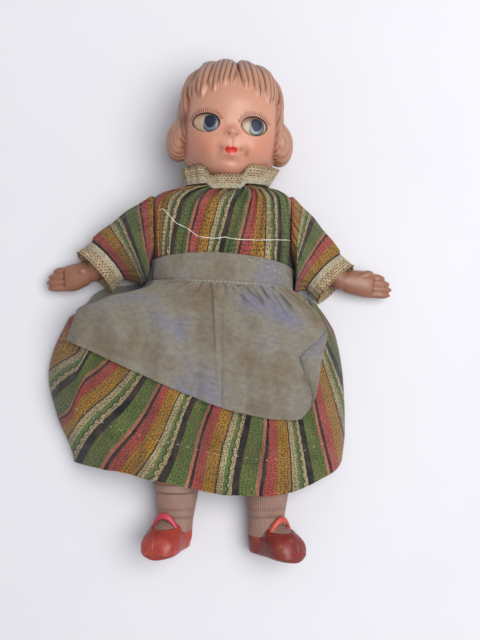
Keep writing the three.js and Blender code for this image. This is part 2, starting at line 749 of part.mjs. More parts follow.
function sleeve(cuff) {
  const surface = (u, v) => {
    const angle = circle * u
    const start = new THREE.Vector3(sleeveStart + clothThickness * 0.1,
      shoulder.y + sleeveRadius * Math.sin(angle), shoulder.z + sleeveRadius * Math.cos(angle))
    const end = cuffRingPoint(cuff, angle, 0, 0)
    const puff = 2.6 * Math.sin(Math.PI * v) ** 0.8
    const middle = start.clone().lerp(end, v)
    const centre = new THREE.Vector3(sleeveStart, shoulder.y, shoulder.z)
      .lerp(new THREE.Vector3(...cuff.centre), v)
    const out = middle.clone().sub(centre).normalize()
    const gather = 0.45 * Math.sin(angle * 8) * Math.sin(Math.PI * v)
    const sag = cuff.sag * Math.max(0, -Math.sin(angle)) * smooth(0.08, 0.5, v) * smooth(1, 0.6, v)
    middle.addScaledVector(out, puff + gather + sag)
    middle.x = Math.max(middle.x, sleeveStart + besideBand * smooth(0, 0.2, v))
    return middle
  }
  return cloth(surface, 24, 5, clothThickness, true)
}

function cuffLace(cuff) {
  const surface = (u, v) => {
    const angle = circle * u
    const ruffle = 0.7 * Math.sin(angle * 9) * v
    return cuffRingPoint(cuff, angle, clothThickness / 2 + clearance + laceWidth * v, 0.6 * v - 0.2 + ruffle)
  }
  return cloth(surface, 27, 1, laceThickness, true)
}

function collarLace() {
  const surface = (u, v) => {
    const angle = circle * u
    const front = smooth(0.75, 1, Math.sin(angle))
    const cheek = bump(Math.abs(Math.cos(angle)) - 0.75, 0, 0.35, 1) * smooth(-0.2, 0.3, Math.sin(angle))
    const ruffle = 0.8 * Math.sin(angle * 12) * v
    const reach = mix(neckline.halfWidth, neckline.halfWidth + collarFlare, v) + ruffle
    const height = collarHeight * (0.55 + 0.45 * cheek) - 1.5 * front
    const rise = clearance + (clothThickness + laceThickness) / 2 + v * height
    const lift = Math.sign(Math.sin(angle)) * Math.abs(Math.sin(angle)) ** 0.85
    const depth = neckline.halfDepth / neckline.halfWidth + 0.16 * v
    return new THREE.Vector3(neck.x + reach * Math.cos(angle), neckline.y + rise, neck.z + reach * depth * lift)
  }
  return cloth(surface, 48, 2, laceThickness, true)
}

// Skirt outline as the x of its left and right edges at y, in short smooth lists [y, x]
const leftEdge = [[waist.y, -waist.halfWidth], [flareStart, -waist.halfWidth], [flareStart - 5, -61], [-2, -93],
  [-34, -106.4], [-62, -101.5], [hemY + 2, -91.5]]
const rightEdge = [[waist.y, waist.halfWidth], [flareStart, waist.halfWidth], [6, 55], [-10, 66.5],
  [-53, 77], [-75, 77.5], [hemY - 2, 75.6]]

function edgeX(list, y) {
  let i = 0
  while (i < list.length - 2 && y < list[i + 1][0]) i++
  const t = THREE.MathUtils.clamp((list[i][0] - y) / (list[i][0] - list[i + 1][0]), 0, 1)
  return rowAt(list, i + t)[1]
}

// Height of the skirt's front above the floor.
function skirtHeight(x, y) {
  const left = edgeX(leftEdge, y)
  const right = edgeX(rightEdge, y)
  const down = (waist.y - y) / (waist.y - hemY + hemSag)
  const xi = THREE.MathUtils.clamp((2 * x - left - right) / (right - left), -1, 1)
  const edge = mix(waist.z + 1, 1.5 * clothThickness + layerGap, smooth(flareStart, flareStart - 27, y))
  const crest = mix(waist.z + waist.halfDepth, skirtCrest, smooth(0.09, 1, down) ** 0.9)
  const spread = smooth(flareStart, flareStart - 29, y)
  const fan = Math.atan2(x, 130 - y)
  const folds = foldDepth * (1 + Math.cos(fan * skirtFolds * 4.4 + 0.6))
  const pleats = pleatDepth * (1 + Math.sin(fan * skirtFolds * 7 + 1.7))
  const fold = smooth(0.08, 0.8, down) * (folds + pleats)
  const body = Math.max(0, 1 - Math.abs(xi) ** mix(2, 3, spread)) ** mix(0.425, 0.62, spread)
  return edge + (crest - edge) * body + fold * smooth(0, 0.35, body)
}

// The first of the rows ends at the band's lower edge, so that the flare starts below it.
const skirtRows = 11

function skirtPoint(u, v) {
  const bandRow = 1 / skirtRows
  const y0 = v < bandRow
    ? mix(waist.y - clearance - 0.2, flareStart, v / bandRow)
    : mix(flareStart, hemY, ((v - bandRow) / (1 - bandRow)) ** 1.3)
  const s = (1 - Math.cos(Math.PI * u)) / 2
  const left = edgeX(leftEdge, y0)
  const right = edgeX(rightEdge, y0)
  const y = y0 - hemSag * v ** 1.5 * 4 * s * (1 - s)
  return [mix(left, right, s), y]
}

function skirtFront() {
  const surface = (u, v) => {
    const [x, y] = skirtPoint(u, v)
    return new THREE.Vector3(x, y, skirtHeight(x, y))
  }
  return cloth(surface, 34, skirtRows, clothThickness)
}

function skirtBack() {
  const surface = (u, v) => {
    const [x, y] = skirtPoint(u, v)
    const xi = -Math.cos(Math.PI * u)
    const side = mix(waist.z - 1.2, clothThickness / 2, smooth(flareStart, flareStart - 27, y))
    const middle = mix(waist.z - waist.halfDepth, clothThickness / 2, smooth(flareStart, flareStart - 7, y))
    const z = middle + (side - middle) * (1 - (1 - xi * xi) ** mix(0.425, 0.8, smooth(flareStart, 0, y)))
    return new THREE.Vector3(x - 0.8 * xi, y, z)
  }
  return cloth(surface, 14, skirtRows, clothThickness)
}

// The band's lower edge, which sits a little lower at the doll's left.
function bandEdge(across) {
  return bandBottom - 1.2 * across
}

function apronBand() {
  const surface = (u, v) => {
    const angle = circle * u
    const front = Math.max(0, Math.sin(angle))
    const y = bandEdge(Math.cos(angle)) + bandWidth * v + bandArch * front * v
    const out = clothThickness + 1.5 * layerGap + 1.6 * v
    const grown = section(angle, waist.halfWidth + out, waist.halfDepth + out, y, waist.z)
    grown.z = Math.max(grown.z, clothThickness * 0.6)
    return grown
  }
  return cloth(surface, 32, 2, clothThickness, true)
}

// The apron's left and right edges, from the band down to its corners [x, y]
const apronLeft = [[-38, bandEdge(-1) - 1], [-61, 10], [-80, -2], [-93, -19]]
const apronRight = [[39, bandEdge(1)], [57, -1], [60, -12], [50, -28], [45, -61]]

// The apron bridges the skirt's steep edges: it lies on the highest point within a short reach.
function apronHeight(x, y) {
  const reach = 5
  const inward = x - reach * Math.sign(x)
  const under = [[x, y], [inward, y], [inward, y + reach], [inward, y - reach]]
  return Math.max(...under.map(([a, b]) => skirtHeight(a, Math.min(b, waist.y))))
}

function apronSkirt() {
  const surface = (u, v) => {
    const s = (1 - Math.cos(Math.PI * u)) / 2
    const left = rowAt(apronLeft, v * (apronLeft.length - 1))
    const right = rowAt(apronRight, v * (apronRight.length - 1))
    const x = mix(left[0], right[0], s)
    const y = mix(left[1], right[1], s) - clearance - clothThickness / 2 - 9 * v * s * (1 - s)
    return new THREE.Vector3(x, y, apronHeight(x, y) + clothThickness + 2 * layerGap)
  }
  return cloth(surface, 20, 9, clothThickness)
}

// Assembly

function mesh(name, geometry, material) {
  const piece = new THREE.Mesh(geometry, new THREE.MeshStandardMaterial(materials[material]))
  piece.name = name
  return piece
}

const doll = new THREE.Group()
const head = new THREE.Group()
head.position.set(neck.x, neck.y, neck.z)
head.rotation.set(0, headTurn * degrees, -headTilt * degrees, 'ZYX')
head.add(mesh('head_shell', headShell(), 'skin'))
for (const [name, side] of [['left', -1], ['right', 1]]) {
  head.add(mesh(`${name}_eye`, eyeball(side), 'white'))
  head.add(mesh(`${name}_iris`, irisRing(side), 'iris'))
  head.add(mesh(`${name}_pupil`, pupil(side), 'pupil'))
}
const neckWasherFloor = neck.floor - neck.length + clearance
head.add(mesh('neck_washer', neckPiece([[neckWasherFloor, elasticRadius + clearance],
  [neckWasherFloor, neck.bore - 1], [neckWasherFloor + washerThickness, neck.bore - 1],
  [neckWasherFloor + washerThickness, elasticRadius + clearance],
  [neckWasherFloor, elasticRadius + clearance]], 12), 'metal'))
doll.add(head)

doll.add(mesh('torso_shell', torsoShell(), 'skin'))

for (const [name, side] of [['left', -1], ['right', 1]]) {
  const place = (geometry) => side > 0 ? geometry : mirrored(geometry)
  doll.add(mesh(`${name}_arm`, place(arm(armPaths[name])), 'skin'))
  doll.add(mesh(`${name}_leg`, place(leg(name === 'left' ? 20 : 44)), 'skin'))
  doll.add(mesh(`${name}_sleeve`, place(sleeve(cuffs[name])), 'stripes'))
  doll.add(mesh(`${name}_cuff_lace`, place(cuffLace(cuffs[name])), 'lace'))
  const armWasher = shoulder.seat + shellWall + 2 * clearance
  const legWasher = hip.seat + shellWall + 2 * clearance
  doll.add(mesh(`${name}_arm_washer`, washer(side, armWasher, shoulder.y, shoulder.z), 'metal'))
  doll.add(mesh(`${name}_leg_washer`, washer(side, legWasher, hip.y, hip.z), 'metal'))
}

const armKnot = shoulder.seat + shellWall + washerThickness + 3 * clearance
const legKnot = hip.seat + shellWall + washerThickness + 3 * clearance
doll.add(mesh('arm_elastic', knottedElastic(armKnot, shoulder.y, shoulder.z), 'elastic'))
doll.add(mesh('leg_elastic', knottedElastic(legKnot, hip.y, hip.z), 'elastic'))

const knotFloor = neckWasherFloor + washerThickness + clearance
const hookRadius = 3.4
const hookTop = shoulder.y - neck.y + hookRadius + hookWire
doll.add(mesh('neck_elastic', placeAtNeck(neckPiece([[hookTop + clearance, 0],
  [hookTop + clearance, elasticRadius], [knotFloor, elasticRadius], [knotFloor + 0.6, knotRadius],
  [knotFloor + 3, knotRadius], [knotFloor + 4.4, knotRadius * 0.6], [knotFloor + 4.6, 0]], 8)), 'elastic'))
const hook = new THREE.TorusGeometry(hookRadius, hookWire, 6, 14).rotateY(Math.PI / 2)
doll.add(mesh('neck_hook', hook.translate(neck.x - 1.6, shoulder.y, shoulder.z), 'metal'))

doll.add(mesh('bodice_front', bodicePanel(seam, Math.PI - seam, 20, 0), 'stripes'))
doll.add(mesh('bodice_back_left', bodicePanel(Math.PI + seam, backMiddle + overlap, 10, studInset), 'stripes'))
doll.add(mesh('bodice_back_right', bodicePanel(backMiddle - overlap, circle - seam, 10, 0), 'stripes'))
doll.add(mesh('press_stud_lower', stud(0.14), 'metal'))
doll.add(mesh('press_stud_upper', stud(0.27), 'metal'))
doll.add(mesh('collar_lace', collarLace(), 'lace'))
doll.add(mesh('skirt_front', skirtFront(), 'stripes'))
doll.add(mesh('skirt_back', skirtBack(), 'stripes'))
doll.add(mesh('apron_band', apronBand(), 'apron'))
doll.add(mesh('apron_skirt', apronSkirt(), 'apron'))

const bounds = new THREE.Box3().setFromObject(doll, true)
doll.position.set(-(bounds.min.x + bounds.max.x) / 2, -(bounds.min.y + bounds.max.y) / 2, -bounds.min.z)

const group = new THREE.Group()
group.add(doll)

export default group
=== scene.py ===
# %% [markdown]
# # A strung celluloid doll in a striped cotton dress
# The doll lies on its back, as in the photograph, and the camera looks down on it. Its hard parts are
# moulded celluloid; its dress, apron and lace are thin cotton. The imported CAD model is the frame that
# everything here is dressed on: a piece is worked out in the doll's own millimetres and then put in
# the frame's metres. This lesson makes each piece as a surface computed with numpy.

# %% Load the frame
import math

import bpy
import numpy as np
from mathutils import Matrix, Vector


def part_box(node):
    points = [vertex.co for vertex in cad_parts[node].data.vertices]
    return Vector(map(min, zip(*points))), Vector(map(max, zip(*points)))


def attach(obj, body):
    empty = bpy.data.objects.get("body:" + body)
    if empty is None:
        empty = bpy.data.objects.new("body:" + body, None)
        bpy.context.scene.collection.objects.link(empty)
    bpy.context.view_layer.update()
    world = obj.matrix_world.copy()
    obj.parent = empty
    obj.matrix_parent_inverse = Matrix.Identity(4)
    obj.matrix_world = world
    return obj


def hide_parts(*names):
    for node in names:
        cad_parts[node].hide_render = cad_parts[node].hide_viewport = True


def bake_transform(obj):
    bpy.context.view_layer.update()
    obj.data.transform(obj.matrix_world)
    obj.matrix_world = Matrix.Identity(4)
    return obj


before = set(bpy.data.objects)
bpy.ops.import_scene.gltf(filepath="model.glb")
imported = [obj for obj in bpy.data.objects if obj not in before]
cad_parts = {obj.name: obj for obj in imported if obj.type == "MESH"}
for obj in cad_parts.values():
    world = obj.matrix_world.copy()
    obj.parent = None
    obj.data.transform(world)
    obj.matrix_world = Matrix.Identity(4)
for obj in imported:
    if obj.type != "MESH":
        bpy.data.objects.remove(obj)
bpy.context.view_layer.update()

# %% [markdown]
# The drawing's origin is the middle of the doll at the table. The leg elastic runs through both hips,
# so the middle of its box fixes where that drawing lies in the frame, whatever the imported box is. The
# doll's sides are named as the picture shows them: left is at negative x.

# %% From the drawing's millimetres to the frame's metres
MM = 0.001
HIP = np.array([0.0, -25.0, 20.0])
string_ends = [np.array(corner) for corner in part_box("leg_elastic")]
SHIFT = sum(string_ends) / 2 - HIP * MM
SIDES = ((-1, "left"), (1, "right"))


def placed(points):
    """Millimetres of the drawing as metres in the frame."""
    return np.asarray(points, float) * MM + SHIFT


print("drawing's origin in the frame", SHIFT)

# %% [markdown]
# Cloth and mouldings are made of a few easy curves: a smooth step, a round bump, a smooth row through
# short lists of stations, and soft uneven waves. They work on whole arrays at once.

# %% Curves
TURN = 2 * np.pi


def smooth(start, end, value):
    """Eases from 0 at start to 1 at end, in either direction."""
    t = np.clip((value - start) / (end - start), 0, 1)
    return t * t * (3 - 2 * t)


def bump(x, y, half_width, half_height):
    """1 at the middle, falling off as a bell."""
    return np.exp(-((x / half_width) ** 2) - (y / half_height) ** 2)


def mix(a, b, t):
    """From a to b in a straight line as t goes from 0 to 1."""
    return a + (b - a) * t


def powered(value, power):
    """The size of a value raised to a power, its sign kept: below 1 a wave gets squarer."""
    return np.sign(value) * np.abs(value) ** power


def row_at(rows, s):
    """A smooth row between the rows of a short list at s, by Catmull-Rom."""
    rows, s = np.asarray(rows, float), np.asarray(s, float)
    i = np.clip(np.floor(s).astype(int), 0, len(rows) - 2)
    f = (s - i)[..., None]
    before, here = rows[np.maximum(i - 1, 0)], rows[i]
    ahead, after = rows[i + 1], rows[np.minimum(i + 2, len(rows) - 1)]
    m1, m2 = (ahead - before) / 2, (after - here) / 2
    bend = 2 * (here - ahead) + m1 + m2
    return here + f * (m1 + f * (3 * (ahead - here) - 2 * m1 - m2 + f * bend))


def ripples(x, y, length, seed, waves=7):
    """Soft uneven waves about length long: sines in seeded directions, added."""
    rng = np.random.default_rng(seed)
    total = 0
    for _ in range(waves):
        angle, phase, stretch = rng.uniform(0, np.pi), rng.uniform(0, TURN), rng.uniform(0.7, 1.5)
        along = x * np.cos(angle) + y * np.sin(angle)
        total = total + np.sin(TURN * along / (length * stretch) + phase)
    return total / math.sqrt(waves)


def length_along(path):
    """Distance along a path at each of its points: its steps' lengths, added up."""
    return np.concatenate([[0], np.cumsum(np.linalg.norm(np.diff(path, axis=0), axis=1))])


print("smooth step at each quarter", smooth(0, 1, np.linspace(0, 1, 5)))

# %% [markdown]
# A shape is a function of two parameters, sampled on a grid of rows and columns. Sculpting or moving
# vertices by hand would also give these forms, but a grid keeps them as formulas that can be read and
# changed. The grid is either open, as a sheet, or closed round one way, as a tube.

# %% Grids of points
def open_grid(rows, cols):
    """Shares from 0 to 1 down a sheet, and across it."""
    return np.meshgrid(np.linspace(0, 1, rows), np.linspace(0, 1, cols), indexing="ij")


def round_grid(rows, cols):
    """Shares from 0 to 1 up a tube, and angles round it."""
    return np.meshgrid(np.linspace(0, 1, rows), TURN * np.arange(cols) / cols, indexing="ij")


def grid_quads(rows, cols, around):
    """Quads of a grid, and the same quads counted in a grid with one more column for the seam."""
    across = cols if around else cols - 1
    r, c = np.meshgrid(np.arange(rows - 1), np.arange(across), indexing="ij")
    corners = [(r, c), (r, c + 1), (r + 1, c + 1), (r + 1, c)]
    wide = cols + 1 if around else cols
    quads = np.stack([row * cols + col % cols for row, col in corners], -1).reshape(-1, 4)
    seamed = np.stack([row * wide + col for row, col in corners], -1).reshape(-1, 4)
    return quads, seamed


def grid_normals(points, around):
    """Unit normals of a grid: the cross product of its two directions."""
    if around:
        along_row = np.roll(points, -1, 1) - np.roll(points, 1, 1)
    else:
        along_row = np.gradient(points, axis=1)
    normal = np.cross(along_row, np.gradient(points, axis=0))
    return normal / np.maximum(np.linalg.norm(normal, axis=-1, keepdims=True), 1e-9)


def grid_area(points, around=False):
    """Area of a grid in square millimetres: half the cross product of each quad's diagonals, summed."""
    quads, _ = grid_quads(*points.shape[:2], around)
    a, b, c, d = (points.reshape(-1, 3)[quads[:, i]] for i in range(4))
    return float(np.linalg.norm(np.cross(c - a, d - b), axis=1).sum() / 2)


print("quads of a 3 by 4 sheet", len(grid_quads(3, 4, False)[0]))
print("quads of a 3 by 4 tube", len(grid_quads(3, 4, True)[0]))

# %% [markdown]
# Every piece is a plain mesh object at the origin, with its place in its points. It names the body that
# carries it, so that it moves with the CAD model.

# %% From points to pieces
def linked(name, data):
    """A new object in the scene that shows data."""
    made = bpy.data.objects.new(name, data)
    bpy.context.scene.collection.objects.link(made)
    return made


def new_piece(name, points, faces, corner_uv=None, material=None, body=None, slot=None):
    """A smooth-shaded mesh object from points in millimetres, riding on a body."""
    mesh = bpy.data.meshes.new(name)
    mesh.from_pydata(placed(points).tolist(), [], faces)
    if corner_uv is not None:
        layer = mesh.uv_layers.new(name="cut")
        layer.data.foreach_set("uv", np.asarray(corner_uv, np.float32).ravel())
    mesh.polygons.foreach_set("use_smooth", np.ones(len(mesh.polygons), bool))
    mesh.update()
    piece = linked(name, mesh)
    if material:
        mesh.materials.append(material)
    if body:
        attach(piece, body)
    return piece

# %% [markdown]
# A moulding is a closed skin: rings of points, joined by quads, with a fan of triangles over each end.
# A lathe or a loft by hand would do, but a sign tells whether the faces point outwards: the sum of the
# volumes between each face and the origin is negative when they point in, and then they are turned.

# %% Closed skins
def signed_volume(points, faces):
    """Six times the volume that the faces close in; negative when they point inwards."""
    corners = points[np.asarray([face[:3] for face in faces])]
    rest = [face for face in faces if len(face) == 4]
    total = np.einsum("ij,ij->", corners[:, 0], np.cross(corners[:, 1], corners[:, 2]))
    if rest:
        others = points[np.asarray(rest)[:, [0, 2, 3]]]
        total += np.einsum("ij,ij->", others[:, 0], np.cross(others[:, 1], others[:, 2]))
    return total


def facing_out(points, faces):
    """The faces, turned over if they point inwards."""
    return [face[::-1] for face in faces] if signed_volume(points, faces) < 0 else faces


def mirrored(points, faces):
    """A mesh's mirror image at x = 0, its faces turned so that they still point outwards."""
    return points * [-1, 1, 1], [face[::-1] for face in faces]


def skin_faces(points):
    """Points and faces of a skin round a grid, its first and last rows closed by fans."""
    rows, cols = points.shape[:2]
    flat, faces = points.reshape(-1, 3), grid_quads(rows, cols, True)[0].tolist()
    ring = np.arange(cols)
    for row, order in ((0, (1, 0)), (rows - 1, (0, 1))):
        middle = len(flat)
        flat = np.vstack([flat, points[row].mean(0)])
        pair = (row * cols + ring, row * cols + (ring + 1) % cols)
        faces += np.stack([np.full(cols, middle), pair[order[0]], pair[order[1]]], -1).tolist()
    return flat, facing_out(flat, faces)


def with_ends(shares):
    """A grid's shares, and the means of its first and last rows for the middles of the fans."""
    return np.append(shares.ravel(), [shares[0].mean(), shares[-1].mean()])


def merged(parts):
    """Several meshes as one: their points stacked, and their faces counted on from each other."""
    points, faces, uvs, count = [], [], [], 0
    for more_points, more_faces, *more_uv in parts:
        points.append(more_points)
        faces += [[i + count for i in face] for face in more_faces]
        uvs += more_uv
        count += len(more_points)
    return (np.vstack(points), faces, np.vstack(uvs)) if uvs else (np.vstack(points), faces)


def tube(path, radius, sides):
    """A thin round strand along a path of points, as a grid of rings square to it."""
    path = np.asarray(path, float)
    along = np.gradient(path, axis=0)
    along /= np.linalg.norm(along, axis=1, keepdims=True)
    guide = np.where(np.abs(along[:, 2:]) > 0.9, [[1.0, 0, 0]], [[0, 0, 1.0]])
    side = np.cross(along, guide)
    side /= np.linalg.norm(side, axis=1, keepdims=True)
    up = np.cross(side, along)
    angle = TURN * np.arange(sides) / sides
    ring = side[:, None] * np.cos(angle)[None, :, None] + up[:, None] * np.sin(angle)[None, :, None]
    return path[:, None] + ring * np.broadcast_to(radius, len(path))[:, None, None]


strand = skin_faces(tube([(0, 0, 0), (0, 1, 0), (0, 2, 0)], 1.0, 6))
print("a strand's faces", len(strand[1]), "point outwards:", signed_volume(*strand) > 0)

# %% [markdown]
# Cloth is a grid with a thickness. Its two sides are the grid moved half the thickness each way, and the
# rims get quads across. A Solidify modifier could do it, but here the rims of the lace's holes are closed
# by the same line: an edge that only one quad uses is a rim.

# %% Cloth
def cloth_faces(points, thickness, uv, around=False, keep=None):
    """Points, faces and corner UVs of cloth round the grid of its middle; keep says which quads stay."""
    rows, cols = points.shape[:2]
    normal = grid_normals(points, around)
    flat = np.vstack([(points + normal * thickness / 2).reshape(-1, 3),
                      (points - normal * thickness / 2).reshape(-1, 3)])
    quads, seamed = grid_quads(rows, cols, around)
    if keep is not None:
        quads, seamed = quads[keep.ravel()], seamed[keep.ravel()]
    count = rows * cols
    flat_uv = np.asarray(uv, float).reshape(-1, 2)
    # An edge whose other direction no quad uses is on a rim, and gets a quad across the thickness
    start, end = quads.ravel(), np.roll(quads, -1, 1).ravel()
    rim = ~np.isin(start * count + end, end * count + start)
    a, b, uv_a, uv_b = start[rim], end[rim], seamed.ravel()[rim], np.roll(seamed, -1, 1).ravel()[rim]
    faces = np.vstack([quads, quads[:, ::-1] + count, np.stack([b, a, a + count, b + count], -1)])
    rim_uv = flat_uv[np.stack([uv_b, uv_a, uv_a, uv_b], -1)]
    corner_uv = np.vstack([flat_uv[seamed], flat_uv[seamed[:, ::-1]], rim_uv])
    used = np.zeros(2 * count, bool)
    used[faces.ravel()] = True
    renumbered = np.cumsum(used) - 1
    return flat[used], renumbered[faces].tolist(), corner_uv.reshape(-1, 2)


swatch = np.stack([*open_grid(3, 3), np.zeros((3, 3))], -1)
print("a swatch's faces, both sides and rim", len(cloth_faces(swatch, 0.5, np.zeros((3, 3, 2)))[1]))

# %% [markdown]
# A material is a small graph of shader nodes. Painted pictures would also do, but a graph stays sharp at
# any distance and needs no files. Short helpers keep the graphs readable: one adds a node and links or
# sets its inputs, some do arithmetic, and one turns a number into a colour. Colours are named as
# a screen's values of 0 to 255, and made linear for the renderer.

# %% Shader helpers
def eye_colour(red, green, blue):
    """A linear colour from a screen's values: the power 2.4 of each share, straight near black."""
    shares = np.array([red, green, blue]) / 255
    linear = np.where(shares > 0.04045, ((shares + 0.055) / 1.055) ** 2.4, shares / 12.92)
    return (*linear.tolist(), 1.0)


def grey(level):
    """A colour whose three shares are the same number."""
    return (level, level, level, 1.0)


class Shader:
    """A material's graph, ending in one Principled shader."""

    def __init__(self, name, **sockets):
        """Starts a graph; each keyword sets an input of the Principled shader, _ standing for a space."""
        self.material = bpy.data.materials.new(name)
        self.material.use_nodes = True
        self.tree = self.material.node_tree
        self.surface = self.tree.nodes["Principled BSDF"]
        for socket, value in sockets.items():
            self.surface.inputs[socket.replace("_", " ")].default_value = value

    def node(self, kind, inputs=(), **settings):
        """Adds a node; an input that is another node's socket is linked, and a number or colour is set."""
        made = self.tree.nodes.new("ShaderNode" + kind)
        for key, value in settings.items():
            setattr(made, key, value)
        for key, value in dict(inputs).items():
            self.give(made.inputs[key], value)
        return made

    def give(self, socket, value):
        """Links another node's socket to this one, or sets a plain value on it."""
        if isinstance(value, bpy.types.NodeSocket):
            self.tree.links.new(value, socket)
        else:
            socket.default_value = value

    def sum(self, operation, a, b=0.0, c=0.0, clamp=False):
        """One step of arithmetic on sockets or numbers."""
        made = self.node("Math", operation=operation, use_clamp=clamp)
        for socket, value in zip(made.inputs, (a, b, c)):
            self.give(socket, value)
        return made.outputs[0]

    def times(self, a, b):
        """a multiplied by b."""
        return self.sum("MULTIPLY", a, b)

    def line(self, value, slope, start, clamp=False):
        """The value times a slope, plus a start."""
        return self.sum("MULTIPLY_ADD", value, slope, start, clamp)

    def ramp(self, factor, stops, constant=False):
        """A colour for each share of factor; stops are pairs of place and colour."""
        made = self.node("ValToRGB", {"Fac": factor})
        band = made.color_ramp
        band.interpolation = "CONSTANT" if constant else "LINEAR"
        while len(band.elements) < len(stops):
            band.elements.new(1.0)
        for element, (place, colour) in zip(band.elements, stops):
            element.position = place
            element.color = colour
        return made.outputs["Color"]

    def even(self, level):
        """A colour socket whose three shares all follow one number."""
        return self.node("CombineColor", {"Red": level, "Green": level, "Blue": level}).outputs[0]

    def blend(self, factor, a, b, how="MIX"):
        """From colour a to b as factor goes from 0 to 1."""
        made = self.node("MixRGB", {"Fac": factor, "Color1": a, "Color2": b}, blend_type=how)
        return made.outputs["Color"]

    def darkened(self, colour, by):
        """A colour multiplied by another, share by share."""
        return self.blend(1.0, colour, by, "MULTIPLY")

    def noise(self, vector, scale, detail=3.0, rough=0.55):
        """Soft noise from 0 to 1, about scale patches to one unit of the vector."""
        made = self.node("TexNoise", {"Vector": vector, "Scale": scale, "Detail": detail, "Roughness": rough})
        return made.outputs["Fac"]

    def attribute(self, name):
        """A number kept at each point of the mesh."""
        return self.node("Attribute", attribute_name=name).outputs["Fac"]

    def place(self):
        """Object coordinates, which are the frame's metres."""
        return self.node("TexCoord").outputs["Object"]

    def cut(self):
        """The flat cloth's millimetres: both together, across the stripes, and along them."""
        both = self.node("UVMap", uv_map="cut").outputs["UV"]
        split = self.node("SeparateXYZ", {"Vector": both})
        return both, split.outputs["X"], split.outputs["Y"]

    def weave(self, across, along, pitch):
        """Threads over and under each other: a sine each way, multiplied."""
        return self.times(self.sum("SINE", self.times(across, TURN / pitch)),
                          self.sum("SINE", self.times(along, TURN / pitch)))

    def colour(self, value):
        """Makes a value the surface's colour."""
        self.give(self.surface.inputs["Base Color"], value)

    def rough(self, value):
        """Makes a value the surface's roughness."""
        self.give(self.surface.inputs["Roughness"], value)

    def bump(self, height, distance, strength=1.0):
        """Tilts the surface's shading by a height, as fine relief would."""
        made = self.node("Bump", {"Height": height, "Distance": distance, "Strength": strength})
        self.tree.links.new(made.outputs["Normal"], self.surface.inputs["Normal"])


print("mid grey of a screen, made linear", eye_colour(128, 128, 128)[:3])

# %% [markdown]
# Moulded celluloid is glossy, slightly uneven, and its colour runs through it. Paint was misted on the
# cheeks, and the grooves of the hair are darkened with painted shade and dust. Three numbers kept at each
# point of the head say how much hair, blush and shade there is, and the material mixes its colours by them.

# %% Celluloid, plain and painted
def celluloid(name, base, hollow, painted=False, shaded_grooves=False):
    """Two tones in soft patches, then hair, painted shade on the crown and blush if painted, painted shade and
    dust in the grooves, specks and wear.
    """
    shader = Shader(name, Roughness=0.45, Coat_Weight=0.2, Coat_Roughness=0.3)
    place = shader.place()
    patches = shader.noise(place, 45.0, 4.0)
    tone = shader.blend(shader.times(patches, 0.8), base, hollow)
    if painted:
        tone = shader.blend(shader.attribute("hair"), tone, eye_colour(176, 129, 104))
        # Grey painted shade on the crown, from 135 mm up to 145 mm along the doll, where it faces away from the
        # light
        up = shader.node("SeparateXYZ", {"Vector": place}).outputs["Y"]
        crown_shade = shader.times(shader.line(up, 100.0, -13.5, clamp=True), 0.6)
        tone = shader.blend(crown_shade, tone, eye_colour(128, 112, 102))
        tone = shader.blend(shader.times(shader.attribute("blush"), 0.36), tone, eye_colour(204, 112, 84))
    if painted or shaded_grooves:
        # Painted shade and dust in the grooves, by the share kept at each point
        tone = shader.blend(shader.attribute("groove_shade_and_dust"), tone, eye_colour(112, 58, 40))
    specks = shader.ramp(shader.noise(place, 900.0, 2.0), [(0.0, grey(0)), (0.27, grey(0)), (0.33, grey(1))])
    shader.colour(shader.blend(0.35, tone, shader.darkened(tone, specks)))
    shader.rough(shader.line(shader.noise(place, 160.0, 5.0), 0.24, 0.38))
    shader.bump(shader.noise(place, 260.0, 3.0), 0.00012, 0.4)
    return shader.material


face_finish = celluloid("painted_celluloid", eye_colour(198, 145, 121), eye_colour(180, 122, 96), True)
skin_finish = celluloid("skin_celluloid", eye_colour(192, 126, 98), eye_colour(158, 92, 66))
print("face material", len(face_finish.node_tree.nodes), "nodes")

# %% [markdown]
# The dress is a striped cotton, printed with small dots and dashes in each band. The cut's own UV map
# holds millimetres across the stripes and along them, so the pattern bends with the cloth and is
# gathered with it. The bands of one repeat are a list of widths and colours, read through a ramp.

# %% The print's bands
# Each band: its width in millimetres, its colour, and how strongly it is dotted
REPEAT = 40.7
DARK = eye_colour(14, 15, 20)
STRIPES = [
    (7.5, eye_colour(178, 126, 34), 1.0),
    (0.9, DARK, 0.0),
    (3.6, eye_colour(186, 168, 124), 0.9),
    (2.2, eye_colour(96, 126, 62), 0.5),
    (0.8, eye_colour(34, 38, 30), 0.0),
    (2.4, eye_colour(186, 168, 124), 0.9),
    (4.1, DARK, 0.0),
    (9.4, eye_colour(98, 118, 54), 1.0),
    (2.0, eye_colour(190, 118, 92), 0.5),
    (1.9, eye_colour(44, 24, 34), 0.0),
    (5.9, eye_colour(184, 76, 68), 0.8),
]


def stripe_stops(which):
    """Where each band starts in one repeat, with its colour (1) or its share of dots (2)."""
    start, stops = 0.0, []
    for band in STRIPES:
        stops.append((start / REPEAT, band[1] if which == 1 else grey(band[2])))
        start += band[0]
    return stops


print("bands", len(STRIPES), "in", round(sum(band[0] for band in STRIPES), 1), "mm")

# %% [markdown]
# Colours go down in the order of the real cloth: first the printed bands, with a line that snakes and
# small dots, then the threads, then what years of light and dust did to it.

